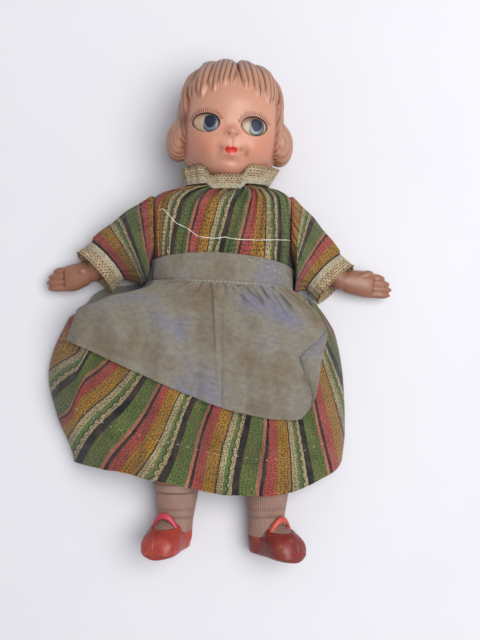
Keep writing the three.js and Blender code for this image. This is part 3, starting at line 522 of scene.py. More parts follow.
# %% The striped dress cotton
def printed_bands(shader, both, across, along):
    """The band at a place's share of the repeat, and dark dots in cells of 1.9 by 1.5 mm over it."""
    drift = shader.sum("SUBTRACT", shader.noise(both, 0.13, 2.0), 0.5)
    plain = shader.sum("FRACT", shader.sum("DIVIDE", shader.line(drift, 1.3, across), REPEAT))
    # The green line snakes: its part of the repeat swings sideways every 5.2 mm
    snaking = shader.ramp(plain, [(0.0, grey(0)), (0.285, grey(0)), (0.32, grey(1)),
                                  (0.375, grey(1)), (0.4, grey(0.25)), (0.53, grey(0))])
    swing = shader.sum("SINE", shader.times(along, TURN / 5.2))
    shift = shader.times(shader.times(swing, 0.55 / REPEAT), snaking)
    share = shader.sum("FRACT", shader.sum("ADD", plain, shift))
    bands = shader.ramp(share, stripe_stops(1), constant=True)
    dotted = shader.ramp(share, stripe_stops(2), constant=True)
    cells = shader.node("CombineXYZ", {"X": shader.sum("DIVIDE", across, 1.9),
                                       "Y": shader.sum("DIVIDE", along, 1.5)}).outputs[0]
    near = shader.node("TexVoronoi", {"Vector": cells, "Scale": 1.0, "Randomness": 0.55},
                       voronoi_dimensions="2D").outputs["Distance"]
    dot = shader.ramp(near, [(0.0, grey(1)), (0.2, grey(1)), (0.29, grey(0))])
    return shader.blend(shader.times(dot, dotted), bands, eye_colour(44, 36, 26))


def striped_cotton():
    """The print, lighter and darker with its threads, its wear and its soiling, and faded in patches."""
    shader = Shader("striped_cotton", Roughness=0.95, Sheen_Weight=0.12, Sheen_Roughness=0.6)
    both, across, along = shader.cut()
    threads = shader.weave(across, along, 0.5)
    soiled = shader.times(shader.noise(both, 0.05, 3.0), 0.8)
    light = shader.line(shader.noise(both, 0.9, 4.0, 0.7), 1.2, shader.sum("SUBTRACT", 0.37, soiled))
    tinted = shader.darkened(printed_bands(shader, both, across, along),
                             shader.even(shader.line(threads, 0.05, light)))
    faded = shader.line(shader.noise(both, 0.09, 4.0, 0.6), 0.6, -0.24, clamp=True)
    shader.colour(shader.blend(faded, tinted, eye_colour(142, 114, 86)))
    shader.bump(threads, 0.00006, 0.5)
    return shader.material


dress_finish = striped_cotton()
print("dress material", len(dress_finish.node_tree.nodes), "nodes")

# %% [markdown]
# The apron is a thin plain weave that has faded from lilac blue to grey and taken beige stains, which
# are broad soft patches. The lace is cream crochet cotton: sewn strip, worked rows and a browner edge.

# %% Apron, lace, thread
def plain_weave():
    """Stained, faded and fresh tones in broad patches, with threads, thicker slubs and grime over them."""
    shader = Shader("apron_cotton", Roughness=0.95, Sheen_Weight=0.1, Sheen_Roughness=0.6)
    both, across, along = shader.cut()
    age = shader.ramp(shader.noise(both, 0.024, 4.0), [(0.3, eye_colour(112, 92, 66)),
                                                       (0.5, eye_colour(130, 123, 110)),
                                                       (0.66, eye_colour(121, 118, 132))])
    grime = shader.ramp(shader.noise(both, 0.35, 5.0, 0.65), [(0.3, grey(0.72)), (0.62, grey(1))])
    threads = shader.weave(across, along, 0.62)
    stretched = shader.node("CombineXYZ", {"X": shader.times(across, 0.15), "Y": shader.times(along, 2.2)})
    slubs = shader.noise(stretched.outputs[0], 1.0, 2.0)
    level = shader.line(threads, 0.05, shader.line(slubs, 0.3, 0.84))
    shader.colour(shader.darkened(shader.darkened(age, shader.even(level)), grime))
    shader.bump(threads, 0.00008, 0.6)
    return shader.material


def dimmed(colour, by):
    """A colour whose three shares are multiplied by a number."""
    return tuple(by * share for share in colour[:3]) + (1.0,)


def thread_loops(shader):
    """Distance to the nearest of the small knots that crochet or twisted thread shows."""
    return shader.node("TexVoronoi", {"Vector": shader.place(), "Scale": 1150.0}).outputs["Distance"]


def cotton_thread(name, colour):
    """Sewing thread: noise less the distance to the knots, from half the colour up to all of it."""
    shader = Shader(name, Roughness=0.9, Sheen_Weight=0.15)
    worked = shader.line(thread_loops(shader), -0.45, shader.noise(shader.place(), 1500.0, 3.0))
    shader.colour(shader.ramp(worked, [(0.05, dimmed(colour, 0.5)), (0.4, colour)]))
    shader.bump(worked, 0.00025, 0.8)
    return shader.material


def crochet():
    """Three tones by the share across the strip, darker between the knots and in soiled patches."""
    shader = Shader("crochet_cotton", Roughness=0.95, Sheen_Weight=0.15)
    plain, worked, edge = eye_colour(198, 184, 156), eye_colour(204, 180, 142), eye_colour(172, 142, 100)
    _, across, _ = shader.cut()
    tone = shader.ramp(across, [(0.0, plain), (0.28, plain), (0.38, worked), (0.72, worked), (0.95, edge)])
    loops = thread_loops(shader)
    knots = shader.ramp(loops, [(0.15, grey(1)), (0.75, grey(0.5))])
    soil = shader.ramp(shader.noise(shader.place(), 120.0, 3.0), [(0.3, grey(0.75)), (0.6, grey(1))])
    shader.colour(shader.darkened(shader.darkened(tone, knots), soil))
    shader.bump(loops, -0.0003, 0.8)
    return shader.material


apron_finish, lace_finish = plain_weave(), crochet()
thread_finish = cotton_thread("white_thread", eye_colour(240, 234, 218))
faded_thread = cotton_thread("faded_thread", eye_colour(198, 192, 180))
print("cotton materials", [finish.name for finish in (apron_finish, lace_finish, thread_finish, faded_thread)])

# %% [markdown]
# The head is one moulding: a squarish crown of combed hair, a round jaw and small features. Its shape is
# a function of longitude, from the face round to the back, and of the angle down from the crown.
# Modelling it so, rather than sculpting, lets the same few numbers place the eyes, the lashes and the
# mouth. The eyes' sockets are flats that turn outwards.

# %% Sizes of the head
HEAD_X, HEAD_Z, CROWN, CHIN = 29.5, 31.0, 34.6, 36.8
HEAD_FORWARD, NECK_TO_HEAD = 3.0, 33.0
EYE_APART, EYE_ASIDE, EYE_DOWN, EYE_TURN = 27.0, -1.5, 5.5, math.radians(14)
EYE_HALF_X, EYE_HALF_Y = 7.1, 5.1
HAIR_RELIEF, LOCKS, STRANDS, WHORL_LEAN = 1.8, 14, 58, math.radians(38)
ROLL_MIDDLES = {-1: np.array([28.4, -11.4, -1.0]), 1: np.array([29.4, -9.6, -1.0])}
ROLL_HALF, ROLL_LEAN = np.array([8.4, 12.8, 12.0]), math.radians(8)
NECK = np.array([2.1, 78.0, 30.0])
TURNED, TILTED = math.radians(3.4), math.radians(-4)
# Bells added to the face's depth: x (on both sides), y, half width, half height and rise
FACE_FORMS = [
    (0, -9.6, 2.9, 2.6, 3.4), (3.0, -10.2, 1.5, 1.4, 0.9), (0, -20, 6.5, 5.5, 1.6), (1.7, -18.2, 1.6, 1.1, 0.5),
    (0, -22.6, 2.8, 1.3, 1.0), (0, -25.6, 5, 1.8, -0.9), (0, -29.5, 7, 4.5, 2.4), (14.5, -18.5, 7.6, 7.6, 2.6),
    (8, -20.5, 2.2, 4, -1.0), (5.6, -19.4, 1.3, 1.2, -0.8), (0, 8, 16, 8, 1.2), (0, -14.8, 1.0, 1.9, -0.5),
    (2.4, -11.2, 0.8, 0.65, -1.2), (0, -3.5, 4.0, 5.0, -0.6),
]


def eye_x(side):
    """Middle of an eye across the face: both sit a little left of the nose's line in the picture."""
    return side * EYE_APART / 2 + EYE_ASIDE


def eye_plane(x, side):
    """Depth of the flat that an eye is set in, which turns outwards."""
    facing = HEAD_Z * math.sqrt(1 - (EYE_APART / 2 / HEAD_X) ** 2) + HEAD_FORWARD
    return facing - (x - eye_x(side)) * side * math.tan(EYE_TURN)


def width_share(y0):
    """Half width at y0 of the half height: an oval, squarer above the middle, drawn in at the jaw."""
    square = np.where(y0 > 0, 2.72, 2.3)
    return (1 - np.abs(y0) ** square) ** (1 / square) * (1 - 0.08 * smooth(-0.35, -0.9, y0))


print("eyes' middles across the face", [eye_x(side) for side, _ in SIDES])

# %% [markdown]
# On each side the hair is rolled up into a fat coil beside the cheek. A roll is an ellipsoid. A straight
# line from the head's middle meets its far skin at a root of a quadratic, and the head's surface is
# pushed out to there with a soft fillet. A boolean union would leave a sharp groove and uneven faces.

# %% Side rolls
FILLET = 3.2


def in_roll(points, side):
    """Points relative to a side roll's middle, straightened and in units of its half sizes."""
    c, s = math.cos(ROLL_LEAN * side), math.sin(ROLL_LEAN * side)
    back = np.array([[c, s, 0], [-s, c, 0], [0, 0, 1]])
    return (points - ROLL_MIDDLES[side] * [side, 1, 1]) @ back.T / ROLL_HALF


def roll_reach(toward, side):
    """Distance from the head's middle along unit vectors to a roll's far skin: the quadratic's far root."""
    start, ahead = in_roll(0 * toward, side), in_roll(toward, side)
    step = ahead - start
    a, b, c = (step * step).sum(-1), -(step * start).sum(-1), (start * start).sum(-1) - 1
    inside = b * b - a * c
    return np.where(b > 0, (b + np.sign(inside) * np.sqrt(np.abs(inside))) / a, 0)


def with_roll(points, side):
    """Points pushed out over a side roll, furrowed by a spiral; also the roll's share and its painted shade and
    dust.
    """
    size = np.linalg.norm(points, axis=-1)
    reach = roll_reach(points / size[..., None], side)
    share = np.clip(0.5 + 0.5 * (reach - size) / FILLET, 0, 1)
    points = points * ((mix(size, reach, share) + FILLET * share * (1 - share)) / size)[..., None]
    local = in_roll(points, side)
    away = np.arccos(np.clip(local[..., 2] / np.linalg.norm(local, axis=-1), -1, 1))
    spin = np.arctan2(local[..., 1], local[..., 0] * side) + 0.4 + (24.0 if side < 0 else 17.0) * away
    fade = share * smooth(2.1, 1.5, away) * smooth(0.08, 0.3, away)
    furrow = (1 - np.abs(np.sin(spin / 2)) ** 0.6) * fade
    # The left roll has a hollow where the coil opens, darkened with painted shade
    hollow = bump(points[..., 0] * side - 27.6, points[..., 1] + 3.0, 1.9, 4.4)
    hollow = hollow * (points[..., 2] > 0) * (side < 0)
    inward = ROLL_MIDDLES[side] * [side, 1, 1] - points
    inward /= np.linalg.norm(inward, axis=-1, keepdims=True)
    points = points + inward * (0.55 * furrow)[..., None] - np.array([0, 0, 1.5]) * hollow[..., None]
    return points, share, np.clip(furrow * 0.5 + 0.7 * hollow, 0, 1)


print("roll's far skin along x, mm", round(float(roll_reach(np.array([1.0, 0, 0]), 1)), 1))

# %% [markdown]
# The strands of hair run from a whorl at the back of the crown, so their ridges are stripes in the angle
# round that whorl: broad locks with finer strands on them. Above the left brow a lock curls round a small
# oval hollow. The same numbers raise the surface and tell the material where to paint shade and dust in the
# grooves.

# %% Combed hair
def combed_hair(x, y, z, front):
    """Share of hair, its height in millimetres, and the painted shade and dust between its locks and strands.
    """
    px, py, pz = x / HEAD_X, y / CHIN, z / HEAD_Z
    size = np.sqrt(px ** 2 + py ** 2 + pz ** 2)
    c, s = math.cos(WHORL_LEAN), math.sin(WHORL_LEAN)
    from_whorl = np.arccos(np.clip((py * c - pz * s) / size, -1, 1))
    round_it = np.abs(np.arctan2(px, py * s + pz * c))
    # Strands bend away from the whorl and wander a little; some are stronger than others
    lock = np.abs(np.sin(LOCKS / 2 * round_it)) ** 0.8
    phase = STRANDS / 2 * round_it - 6.0 * (from_whorl - 1.0) * smooth(0.3, 1.0, from_whorl)
    phase = phase + 0.5 * np.sin(5 * from_whorl) + 0.8 * np.sin(5.3 * round_it + np.sign(x))
    strand = np.abs(np.sin(phase)) ** 0.8
    strong = 0.45 + 0.55 * np.abs(np.cos(phase / 2 + 0.6))
    strand = 1 - (1 - strand) * strong
    fine = np.abs(np.sin(2.5 * phase + 0.9))
    # The hairline: a fringe over the brow, and the edges beside the cheeks
    fringe = 21.6 - 0.44 * np.abs(x) - 3.4 * np.abs(np.sin(phase / 2 + 0.3)) + 1.2 * np.sin(0.8 * x + 1)
    over_brow = smooth(fringe - 1.6, fringe + 2.6, y)
    beside = smooth(24.9, 26.1, np.abs(x))
    hair = np.maximum(np.maximum(1 - front, over_brow), beside) * smooth(-29, -26.5, y)
    parting = bump(x - 0.9, 0, 0.7, 1) * smooth(16, 26, y) * smooth(-0.5, 0.1, pz)
    # The small curl's oval hollow, and calm hair round it
    slant = math.radians(27)
    dx, dy = x + 21.9, y - 24.6
    oval = np.hypot((dx * math.sin(slant) + dy * math.cos(slant)) / 6.4,
                    (dx * math.cos(slant) - dy * math.sin(slant)) / 2.3)
    hollow = np.exp(-(oval ** 4)) * front
    calm = np.exp(-((oval / 1.5) ** 6)) * front
    strand, fine = mix(strand, 0.9, calm), mix(fine, 0.8, calm)
    relief = hair * (HAIR_RELIEF * mix(0.35, 1, lock) + 0.95 * (strand - 0.75) + 0.15 * (fine - 0.6))
    relief = relief - 1.0 * parting - 2.2 * hollow
    # Painted shade and dust in the grooves, the parting and the curl's hollow
    groove_shade_and_dust = hair * (0.95 * smooth(0.8, 0.25, strand) + 0.15 * smooth(0.35, 0.05, fine))
    return hair, relief, np.clip(groove_shade_and_dust + 0.5 * parting + 0.7 * hollow, 0, 1)


print("dirt at the crown", combed_hair(np.array([0.0, 5.0]), 30.0, np.array([5.0, 5.0]), 1.0)[2].round(2))

# %% [markdown]
# The whole head is an oval body, then its hair, its face's bells, its rolls and last its sockets, each
# laid over what is there. A little paint goes with the shape: blush on the cheeks, mouth and chin, and
# painted shade and dust in every fold.

# %% The head's surface
def head_form(longitude, polar):
    """Points of the head in its own frame, with the shares of hair, painted shade and dust, and blush at each.
    """
    y0 = np.cos(polar)
    z0 = (1 - np.abs(y0) ** 2.3) ** (1 / 2.3) * np.cos(longitude)
    nape = np.where(z0 < 0, 1 - 0.22 * smooth(0, -0.95, y0), 1)
    x = HEAD_X * width_share(y0) * np.sin(longitude)
    y = np.where(y0 > 0, CROWN, CHIN) * y0
    z = HEAD_Z * z0 * nape
    front = smooth(0, 0.4, z0)
    hair, relief, groove_shade_and_dust = combed_hair(x, y, z, front)
    for form_x, form_y, half_x, half_y, rise in FACE_FORMS:
        z = z + front * rise * bump(np.abs(x) - form_x, y - form_y, half_x, half_y)
    points = np.stack([x, y, z], -1) * (1 + relief / HEAD_X)[..., None]
    for side, _ in SIDES:
        points, rolled, furrows = with_roll(points, side)
        groove_shade_and_dust = np.maximum(groove_shade_and_dust * (1 - rolled), furrows)
        hair = np.maximum(hair, smooth(0.4, 0.7, rolled) * (np.abs(x) > 24.5))
    z = points[..., 2] + HEAD_FORWARD
    # A thin furrow between the face and the hair beside it, darkened with painted shade
    border = front * bump(np.abs(x) - 25.3, 0, 0.7, 1) * smooth(-27, -21, y) * smooth(22, 15, y)
    z = z - 0.55 * border
    shade_and_dust = groove_shade_and_dust + 0.6 * border
    blush = np.zeros_like(x)
    # Flats and sockets of the eyes, a raised rim round each with painted shade at the socket's edge, and a
    # blush on each cheek
    for side, _ in SIDES:
        near = bump(x - eye_x(side), y + EYE_DOWN, 9.5, 7) * front
        z = mix(z, eye_plane(x, side), np.minimum(1, 1.35 * near))
        ring = np.hypot((x - eye_x(side)) / EYE_HALF_X, (y + EYE_DOWN) / EYE_HALF_Y)
        z = z - front * 2.6 * smooth(1.05, 0.97, ring) + front * 0.2 * bump(ring - 1.16, 0, 0.12, 1)
        shade_and_dust = shade_and_dust + front * 0.2 * bump(ring - 1.0, 0, 0.08, 1)
        blush = blush + front * bump(x - side * 15.5, y + 17.5, 9.0, 7.0)
        blush = blush + 0.9 * front * bump(x * side - 23.5, y + 16, 2.2, 9)
    # Blush under the mouth, on the chin and beside the nose; dark paint in the nostrils, painted shade in the
    # mouth's corners
    both = np.abs(x)
    blush = blush + front * (0.8 * bump(x, y + 22.5, 3.4, 2.0) + 0.8 * bump(x, y + 33, 12, 3.5)
                             + 0.5 * bump(both - 4.5, y + 9, 2.5, 5))
    shade_and_dust = shade_and_dust + front * (0.8 * bump(both - 2.3, y + 11.5, 0.8, 0.6) + 0.5 * bump(x - 8.6, y + 20.7, 1.4, 2.0)
                           + 0.45 * bump(both - 5.6, y + 19.4, 1.1, 1.6))
    points = np.stack([points[..., 0], points[..., 1] + NECK_TO_HEAD, z], -1)
    return points, hair, np.clip(shade_and_dust, 0, 1), np.clip(blush, 0, 1)


print("a point of the nose, mm from the neck", head_form(0.0, math.acos(-9.6 / CHIN))[0].round(1))

# %% [markdown]
# The head is set on the neck turned a little to one side and tilted. To lay paint on it, face_point
# undoes the oval: it finds the longitude and angle whose surface point lies above a given x and y.

# %% The head on its neck
def turn_matrix(angle, first, second):
    """A turn that mixes two of the three coordinates by the angle's cosine and sine."""
    matrix = np.eye(3)
    matrix[first, first] = matrix[second, second] = math.cos(angle)
    matrix[first, second], matrix[second, first] = -math.sin(angle), math.sin(angle)
    return matrix


turn_z = turn_matrix(TILTED, 0, 1)
HEAD_TURN = turn_z @ turn_matrix(TURNED, 2, 0)


def on_head(points):
    """Points of the head's own frame, turned and set on the neck."""
    return np.asarray(points) @ HEAD_TURN.T + NECK


def face_point(x, y, lift=0.0):
    """The face's surface straight above x, y of the head's own frame, lifted a little off it."""
    y0 = np.asarray(y) / np.where(np.asarray(y) > 0, CROWN, CHIN)
    points = head_form(np.arcsin(np.clip(x / (HEAD_X * width_share(y0)), -1, 1)), np.arccos(y0))[0]
    return points + np.array([0, 0, 1.0]) * np.asarray(lift)[..., None]


print("a point of the forehead in the drawing", on_head(face_point(0.0, 8.0)).round(1))

# %% [markdown]
# The grid's rows crowd together at the face and its columns at the front, where the detail is: a sine
# taken from an even row of shares draws them there. Ends are closed by fans at the crown and the neck.

# %% The head's mesh
def set_shares(piece, shares):
    """Keeps named numbers at a mesh's points for its material."""
    for name, values in shares.items():
        layer = piece.data.attributes.new(name, "FLOAT", "POINT")
        layer.data.foreach_set("value", np.asarray(values, np.float32).ravel())


def crowded(t, centre, by):
    """Shares 0 to 1 that lie closest together near centre: a sine is taken from an even row."""
    return t - by / TURN * (np.sin(TURN * (t - centre)) + np.sin(TURN * centre))


HEAD_ROWS, HEAD_COLS = 250, 380
down, around = np.meshgrid(np.pi * crowded(np.linspace(0.006, 0.994, HEAD_ROWS), 0.62, 0.35),
                         TURN * np.arange(HEAD_COLS) / HEAD_COLS, indexing="ij")
head_grid, *head_shares = head_form(around - 0.42 * np.sin(around), down)
head = new_piece("head_moulding", *skin_faces(on_head(head_grid)), None, face_finish, "head", "celluloid_skin")
for share, values, ends in zip(("hair", "groove_shade_and_dust", "blush"), head_shares, ([1.0, 0.0], [0.0, 0.0], [0.0, 0.0])):
    set_shares(head, {share: np.append(values.ravel(), ends)})
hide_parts("head_shell")
print("head points", len(head.data.vertices))

# %% [markdown]
# Under the head a short socket is turned like a lathe profile: it sits in the torso's neck seat.

# %% Neck socket
def spun(profile):
    """A profile of height and radius spun round: heights, and the radius times sine and cosine."""
    height, radius = np.asarray(profile, float).T[..., None]
    angle = TURN * np.arange(64) / 64
    return height + 0 * angle, radius * np.sin(angle), radius * np.cos(angle)


height, across, deep = spun([(-6, 1.5), (-6, 8), (-4.8, 9.5), (2, 9.4), (8, 9.5)])
neck_grid = np.stack([across, height, deep], -1) @ turn_z.T + NECK
socket = new_piece("neck_socket", *skin_faces(neck_grid), None, skin_finish, "head", "celluloid_skin")
print("neck socket faces", len(socket.data.polygons))

# %% [markdown]
# Each eye is set into its oval opening: a cream ball of glossy plastic, a blue-grey iris ring and a
# dark pupil. The iris and pupil are moved toward the picture's right, so that the doll glances aside.
# First their three finishes.

# %% The eyes' finishes
def cream_ball():
    """Yellowed glossy plastic, browner where the lid's shade is kept at its points."""
    shader = Shader("eye_cream", Roughness=0.35, Coat_Weight=0.3, Coat_Roughness=0.15)
    tone = shader.ramp(shader.noise(shader.place(), 130.0, 4.0),
                       [(0.3, eye_colour(146, 118, 94)), (0.62, eye_colour(188, 162, 132))])
    shader.colour(shader.blend(shader.attribute("lid"), tone, eye_colour(88, 56, 40)))
    return shader.material


def dark_pupil():
    """Almost black plastic, with soft bluish patches of painted reflection."""
    shader = Shader("eye_black", Roughness=0.4, Specular_IOR_Level=0.22)
    shader.colour(shader.ramp(shader.noise(shader.place(), 120.0, 4.0),
                              [(0.3, eye_colour(20, 24, 34)), (0.8, eye_colour(46, 54, 74))]))
    return shader.material


def iris_ring_finish():
    """Blue-grey streaks that run outwards, lighter round the pupil and dark at the rim."""
    shader = Shader("eye_blue_grey", Roughness=0.3, Coat_Weight=0.3, Coat_Roughness=0.15)
    streaks = shader.noise(shader.place(), 1100.0, 3.0)
    share = shader.line(streaks, 0.3, shader.sum("SUBTRACT", shader.attribute("reach"), 0.15))
    shader.colour(shader.ramp(share, [(0.05, eye_colour(64, 76, 96)), (0.4, eye_colour(100, 108, 112)),
                                      (0.75, eye_colour(66, 78, 90)), (1.0, eye_colour(40, 46, 58))]))
    return shader.material


ball_finish, pupil_finish, iris_finish = cream_ball(), dark_pupil(), iris_ring_finish()
print("eye materials", [finish.name for finish in (ball_finish, pupil_finish, iris_finish)])

# %% [markdown]
# Ball, iris and pupil are shallow domes over ovals, each with a flat back. The iris is a ring, so its
# rows close on themselves. They could be cut from spheres, but a dome fits the flat oval of the opening.

# %% Eyes
def on_eye(points, side):
    """Points of an eye's own frame, turned outwards and set in the head."""
    c, s = math.cos(side * EYE_TURN), math.sin(side * EYE_TURN)
    turned = np.asarray(points) @ np.array([[c, 0, s], [0, 1, 0], [-s, 0, c]]).T
    depth = float(eye_plane(eye_x(side), side))
    return on_head(turned + np.array([eye_x(side), NECK_TO_HEAD - EYE_DOWN, depth]))


def dome(half_x, half_y, height, back, middle=(0.0, 0.0, 0.0), inner=0.0):
    """A half ellipse's height over an oval, with a flat back; inner leaves a hole, as in a ring."""
    share = np.concatenate([np.linspace(max(inner, 0.02), 1, 22), [1.0], [max(inner, 0.02)]])
    rise = height * np.sqrt(np.clip(1 - share ** 2, 0, 1))
    rise[-2:] = -back
    angle = TURN * np.arange(72) / 72
    x, y = half_x * share[:, None] * np.cos(angle), half_y * share[:, None] * np.sin(angle)
    return np.stack([x, y, np.broadcast_to(rise[:, None], x.shape)], -1) + np.array(middle)


def ring_faces(points):
    """Points and faces of a ring: its last row joins its first."""
    looped = np.concatenate([points, points[:1]])
    quads, _ = grid_quads(len(looped), points.shape[1], True)
    flat = points.reshape(-1, 3)
    return flat, facing_out(flat, (quads % len(flat)).tolist())


GLANCE = {"left": 2.8, "right": 1.6}
for side, name in SIDES:
    glance = GLANCE[name]
    ball_grid = dome(7.2, 5.15, 1.5, 3.5, (0, 0, -1.0))
    ball = new_piece(f"{name}_eyeball", *skin_faces(on_eye(ball_grid, side)), None,
                     ball_finish, "head", "eye_white")
    # Painted shadow of the upper lid, darkening the top of the ball
    set_shares(ball, {"lid": with_ends(0.75 * smooth(1.0, 5.2, ball_grid[..., 1]))})
    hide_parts(f"{name}_eye")
    iris_grid = on_eye(dome(4.8, 4.7, 0.75, 1.2, (glance - 0.5, -0.3, -0.02), 0.5), side)
    ring = new_piece(f"{name}_iris_ring", *ring_faces(iris_grid), None, iris_finish, "head", "eye_iris")
    reach = np.concatenate([np.linspace(0, 1, 22), [1.0, 0.0]])[:, None] * np.ones((1, iris_grid.shape[1]))
    set_shares(ring, {"reach": reach})
    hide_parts(f"{name}_iris")
    pupil_grid = on_eye(dome(3.4, 3.3, 0.5, 1.2, (glance - 0.4, 0.7, 0.4)), side)
    disc = new_piece(f"{name}_pupil_dome", *skin_faces(pupil_grid), None, pupil_finish, "head", "eye_pupil")
    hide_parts(f"{name}_pupil")
    print(name, "eye's middle", on_eye([[0.0, 0.0, 0.0]], side).round(1))

# %% [markdown]
# The lid lines, lashes and mouth are paint. Each stroke of paint is a thin skin laid on the face: its
# outline is drawn in the head's own x and y, and face_point gives the height under it. Lashes vary a
# little in length and tilt, by seeded random numbers.

# %% Painted lids and lashes
def paint(name, colour, rough=0.45):
    """A painted colour, a fifth dimmer in small spots."""
    shader = Shader(name, Coat_Weight=0.2)
    shader.colour(shader.blend(shader.noise(shader.place(), 1400.0, 3.0), colour, dimmed(colour, 0.8)))
    shader.rough(rough)
    return shader.material


lash_paint = paint("lash_paint", eye_colour(104, 56, 42))
lid_paint = paint("lid_paint", eye_colour(58, 34, 30))
lip_paint = paint("lip_paint", eye_colour(206, 36, 24), 0.35)


def stroke(x, y, width, lift=0.12, thickness=0.1):
    """Points and faces of a ribbon of paint: half the width to each side of the path x, y on the face."""
    path = np.stack([x, y], -1)
    along = np.gradient(path, axis=0)
    along /= np.maximum(np.linalg.norm(along, axis=1, keepdims=True), 1e-9)
    side = np.stack([-along[:, 1], along[:, 0]], -1) * np.broadcast_to(width, len(path))[:, None] / 2
    ribbon = np.stack([path - side, path, path + side], 1)
    grid = on_head(face_point(ribbon[..., 0], ribbon[..., 1], np.full(ribbon.shape[:2], lift)))
    return cloth_faces(grid, thickness, np.zeros((*grid.shape[:2], 2)))


rng = np.random.default_rng(11)
for side, name in SIDES:
    lid_angle = np.radians(np.linspace(206 if side < 0 else 196, -14, 60))
    lid_x = eye_x(side) + EYE_HALF_X * 1.07 * np.cos(lid_angle)
    lid_y = -EYE_DOWN + EYE_HALF_Y * 1.07 * np.sin(lid_angle)
    line_width = 0.22 + 0.3 * np.sin(np.linspace(0.15, np.pi - 0.1, 60))
    new_piece(f"{name}_lid_line", *stroke(lid_x, lid_y, line_width), lid_paint, "head", "celluloid_skin")
    strokes = []
    for angle in np.radians(np.linspace(172, 20, 23)):
        start = np.array([EYE_HALF_X * 1.18 * math.cos(angle), EYE_HALF_Y * 1.2 * math.sin(angle)])
        tilt = angle + rng.uniform(-0.08, 0.08) - 0.12
        long = rng.uniform(2.0, 2.9) * (0.75 + 0.25 * math.sin(angle))
        t = np.linspace(0, 1, 7)
        x = eye_x(side) + start[0] + long * t * math.cos(tilt) * 0.8
        y = -EYE_DOWN + start[1] + long * t * math.sin(tilt) + 0.2 * t
        strokes.append(stroke(x, y, 0.46 * (1 - 0.7 * t), 0.1, 0.08))
    new_piece(f"{name}_lashes", *merged(strokes), lash_paint, "head", "celluloid_skin")
    print(name, "lashes", len(strokes))

# %% [markdown]
# The mouth is one small patch of paint between two curves: an upper lip with a dip in its middle and a
# fuller lower lip. It stands out by two bells, with a fine furrow where the lips meet.

# %% Mouth
u, v = np.meshgrid(np.linspace(-0.985, 0.985, 61), np.linspace(0, 1, 25))
lip_top = -19.5 + 1.75 * (1 - u ** 2) ** 0.55 * (1 - 0.36 * np.exp(-((u / 0.2) ** 2)))
lip_foot = -19.5 - 2.3 * (1 - u ** 2) ** 0.55
lip_x, lip_y = 3.55 * u, mix(lip_foot, lip_top, v)
lip_lift = 0.12 + 0.3 * bump(lip_y + 18.7, 0, 0.8, 1) - 0.12 * bump(lip_y + 19.7, 0, 0.3, 1)
mouth_cloth = cloth_faces(on_head(face_point(lip_x, lip_y, lip_lift)), 0.1, np.zeros((*u.shape, 2)))
new_piece("painted_mouth", *mouth_cloth, lip_paint, "head", "celluloid_skin")
print("mouth from", lip_y.min().round(1), "to", lip_y.max().round(1))

# %% [markdown]
# Each arm is one moulding: a ball at the shoulder, a bent forearm and a small hand whose fingers lie
# side by side. Ovals are carried along a path to make the limb and each finger. Most of the arm is
# inside the sleeve, so the hand gets the detail.

# %% Shapes of the arms
SLEEVE_START, SHOULDER, SHOULDER_SEAT = 39.9, np.array([0.0, 54.0, 27.0]), 28.3
# Elbow, wrist, palm, fingertips and the thumb's tip of each arm, drawn on the right
ARM_PATHS = {
    "left": ([55.0, 43, 18], [77.0, 26.5, 11.5], [91.0, 22.0, 9.8], [107.2, 20.6, 8.8], [86.6, 27.2, 14.2]),
    "right": ([54.5, 39, 17.5], [71.0, 21.5, 11.5], [87.0, 18.2, 9.8], [103.6, 16.4, 8.8], [91.5, 25.0, 12.2]),
}


def limb(stations, sides=48, rings=60):
    """Ovals of given half width and depth carried along a smooth path, each square to it."""
    rows = row_at(stations, np.linspace(0, len(stations) - 1, rings))
    along = np.gradient(rows[:, :3], axis=0)
    across = np.cross(along, [0, 0, 1.0])
    across /= np.linalg.norm(across, axis=1, keepdims=True)
    up = np.cross(across, along)
    up /= np.linalg.norm(up, axis=1, keepdims=True)
    angle = TURN * np.arange(sides) / sides
    wide, deep = rows[:, 3, None] * np.cos(angle), rows[:, 4, None] * np.sin(angle)
    return rows[:, None, :3] + across[:, None] * wide[..., None] + up[:, None] * deep[..., None]


def joint_ball(seat, profile, centre):
    """A ball about the X axis through a joint: distances beyond its flat seat and radii, spun round."""
    along, across, deep = spun([(seat + beyond, radius) for beyond, radius in profile])
    return np.stack([along, centre[1] + deep, centre[2] + across], -1)


def finger(root, end, radius):
    """A tapering finger, arched a little upwards and rounded at its tip."""
    t = np.linspace(0, 1, 6)
    middle = root + (end - root) * t[:, None] + np.array([0, 0, 0.9]) * np.sin(np.pi * t)[:, None]
    size = radius * np.array([1.0, 1.03, 0.96, 0.98, 0.86, 0.35])
    return limb(np.column_stack([middle, size, size]), 16, 16)


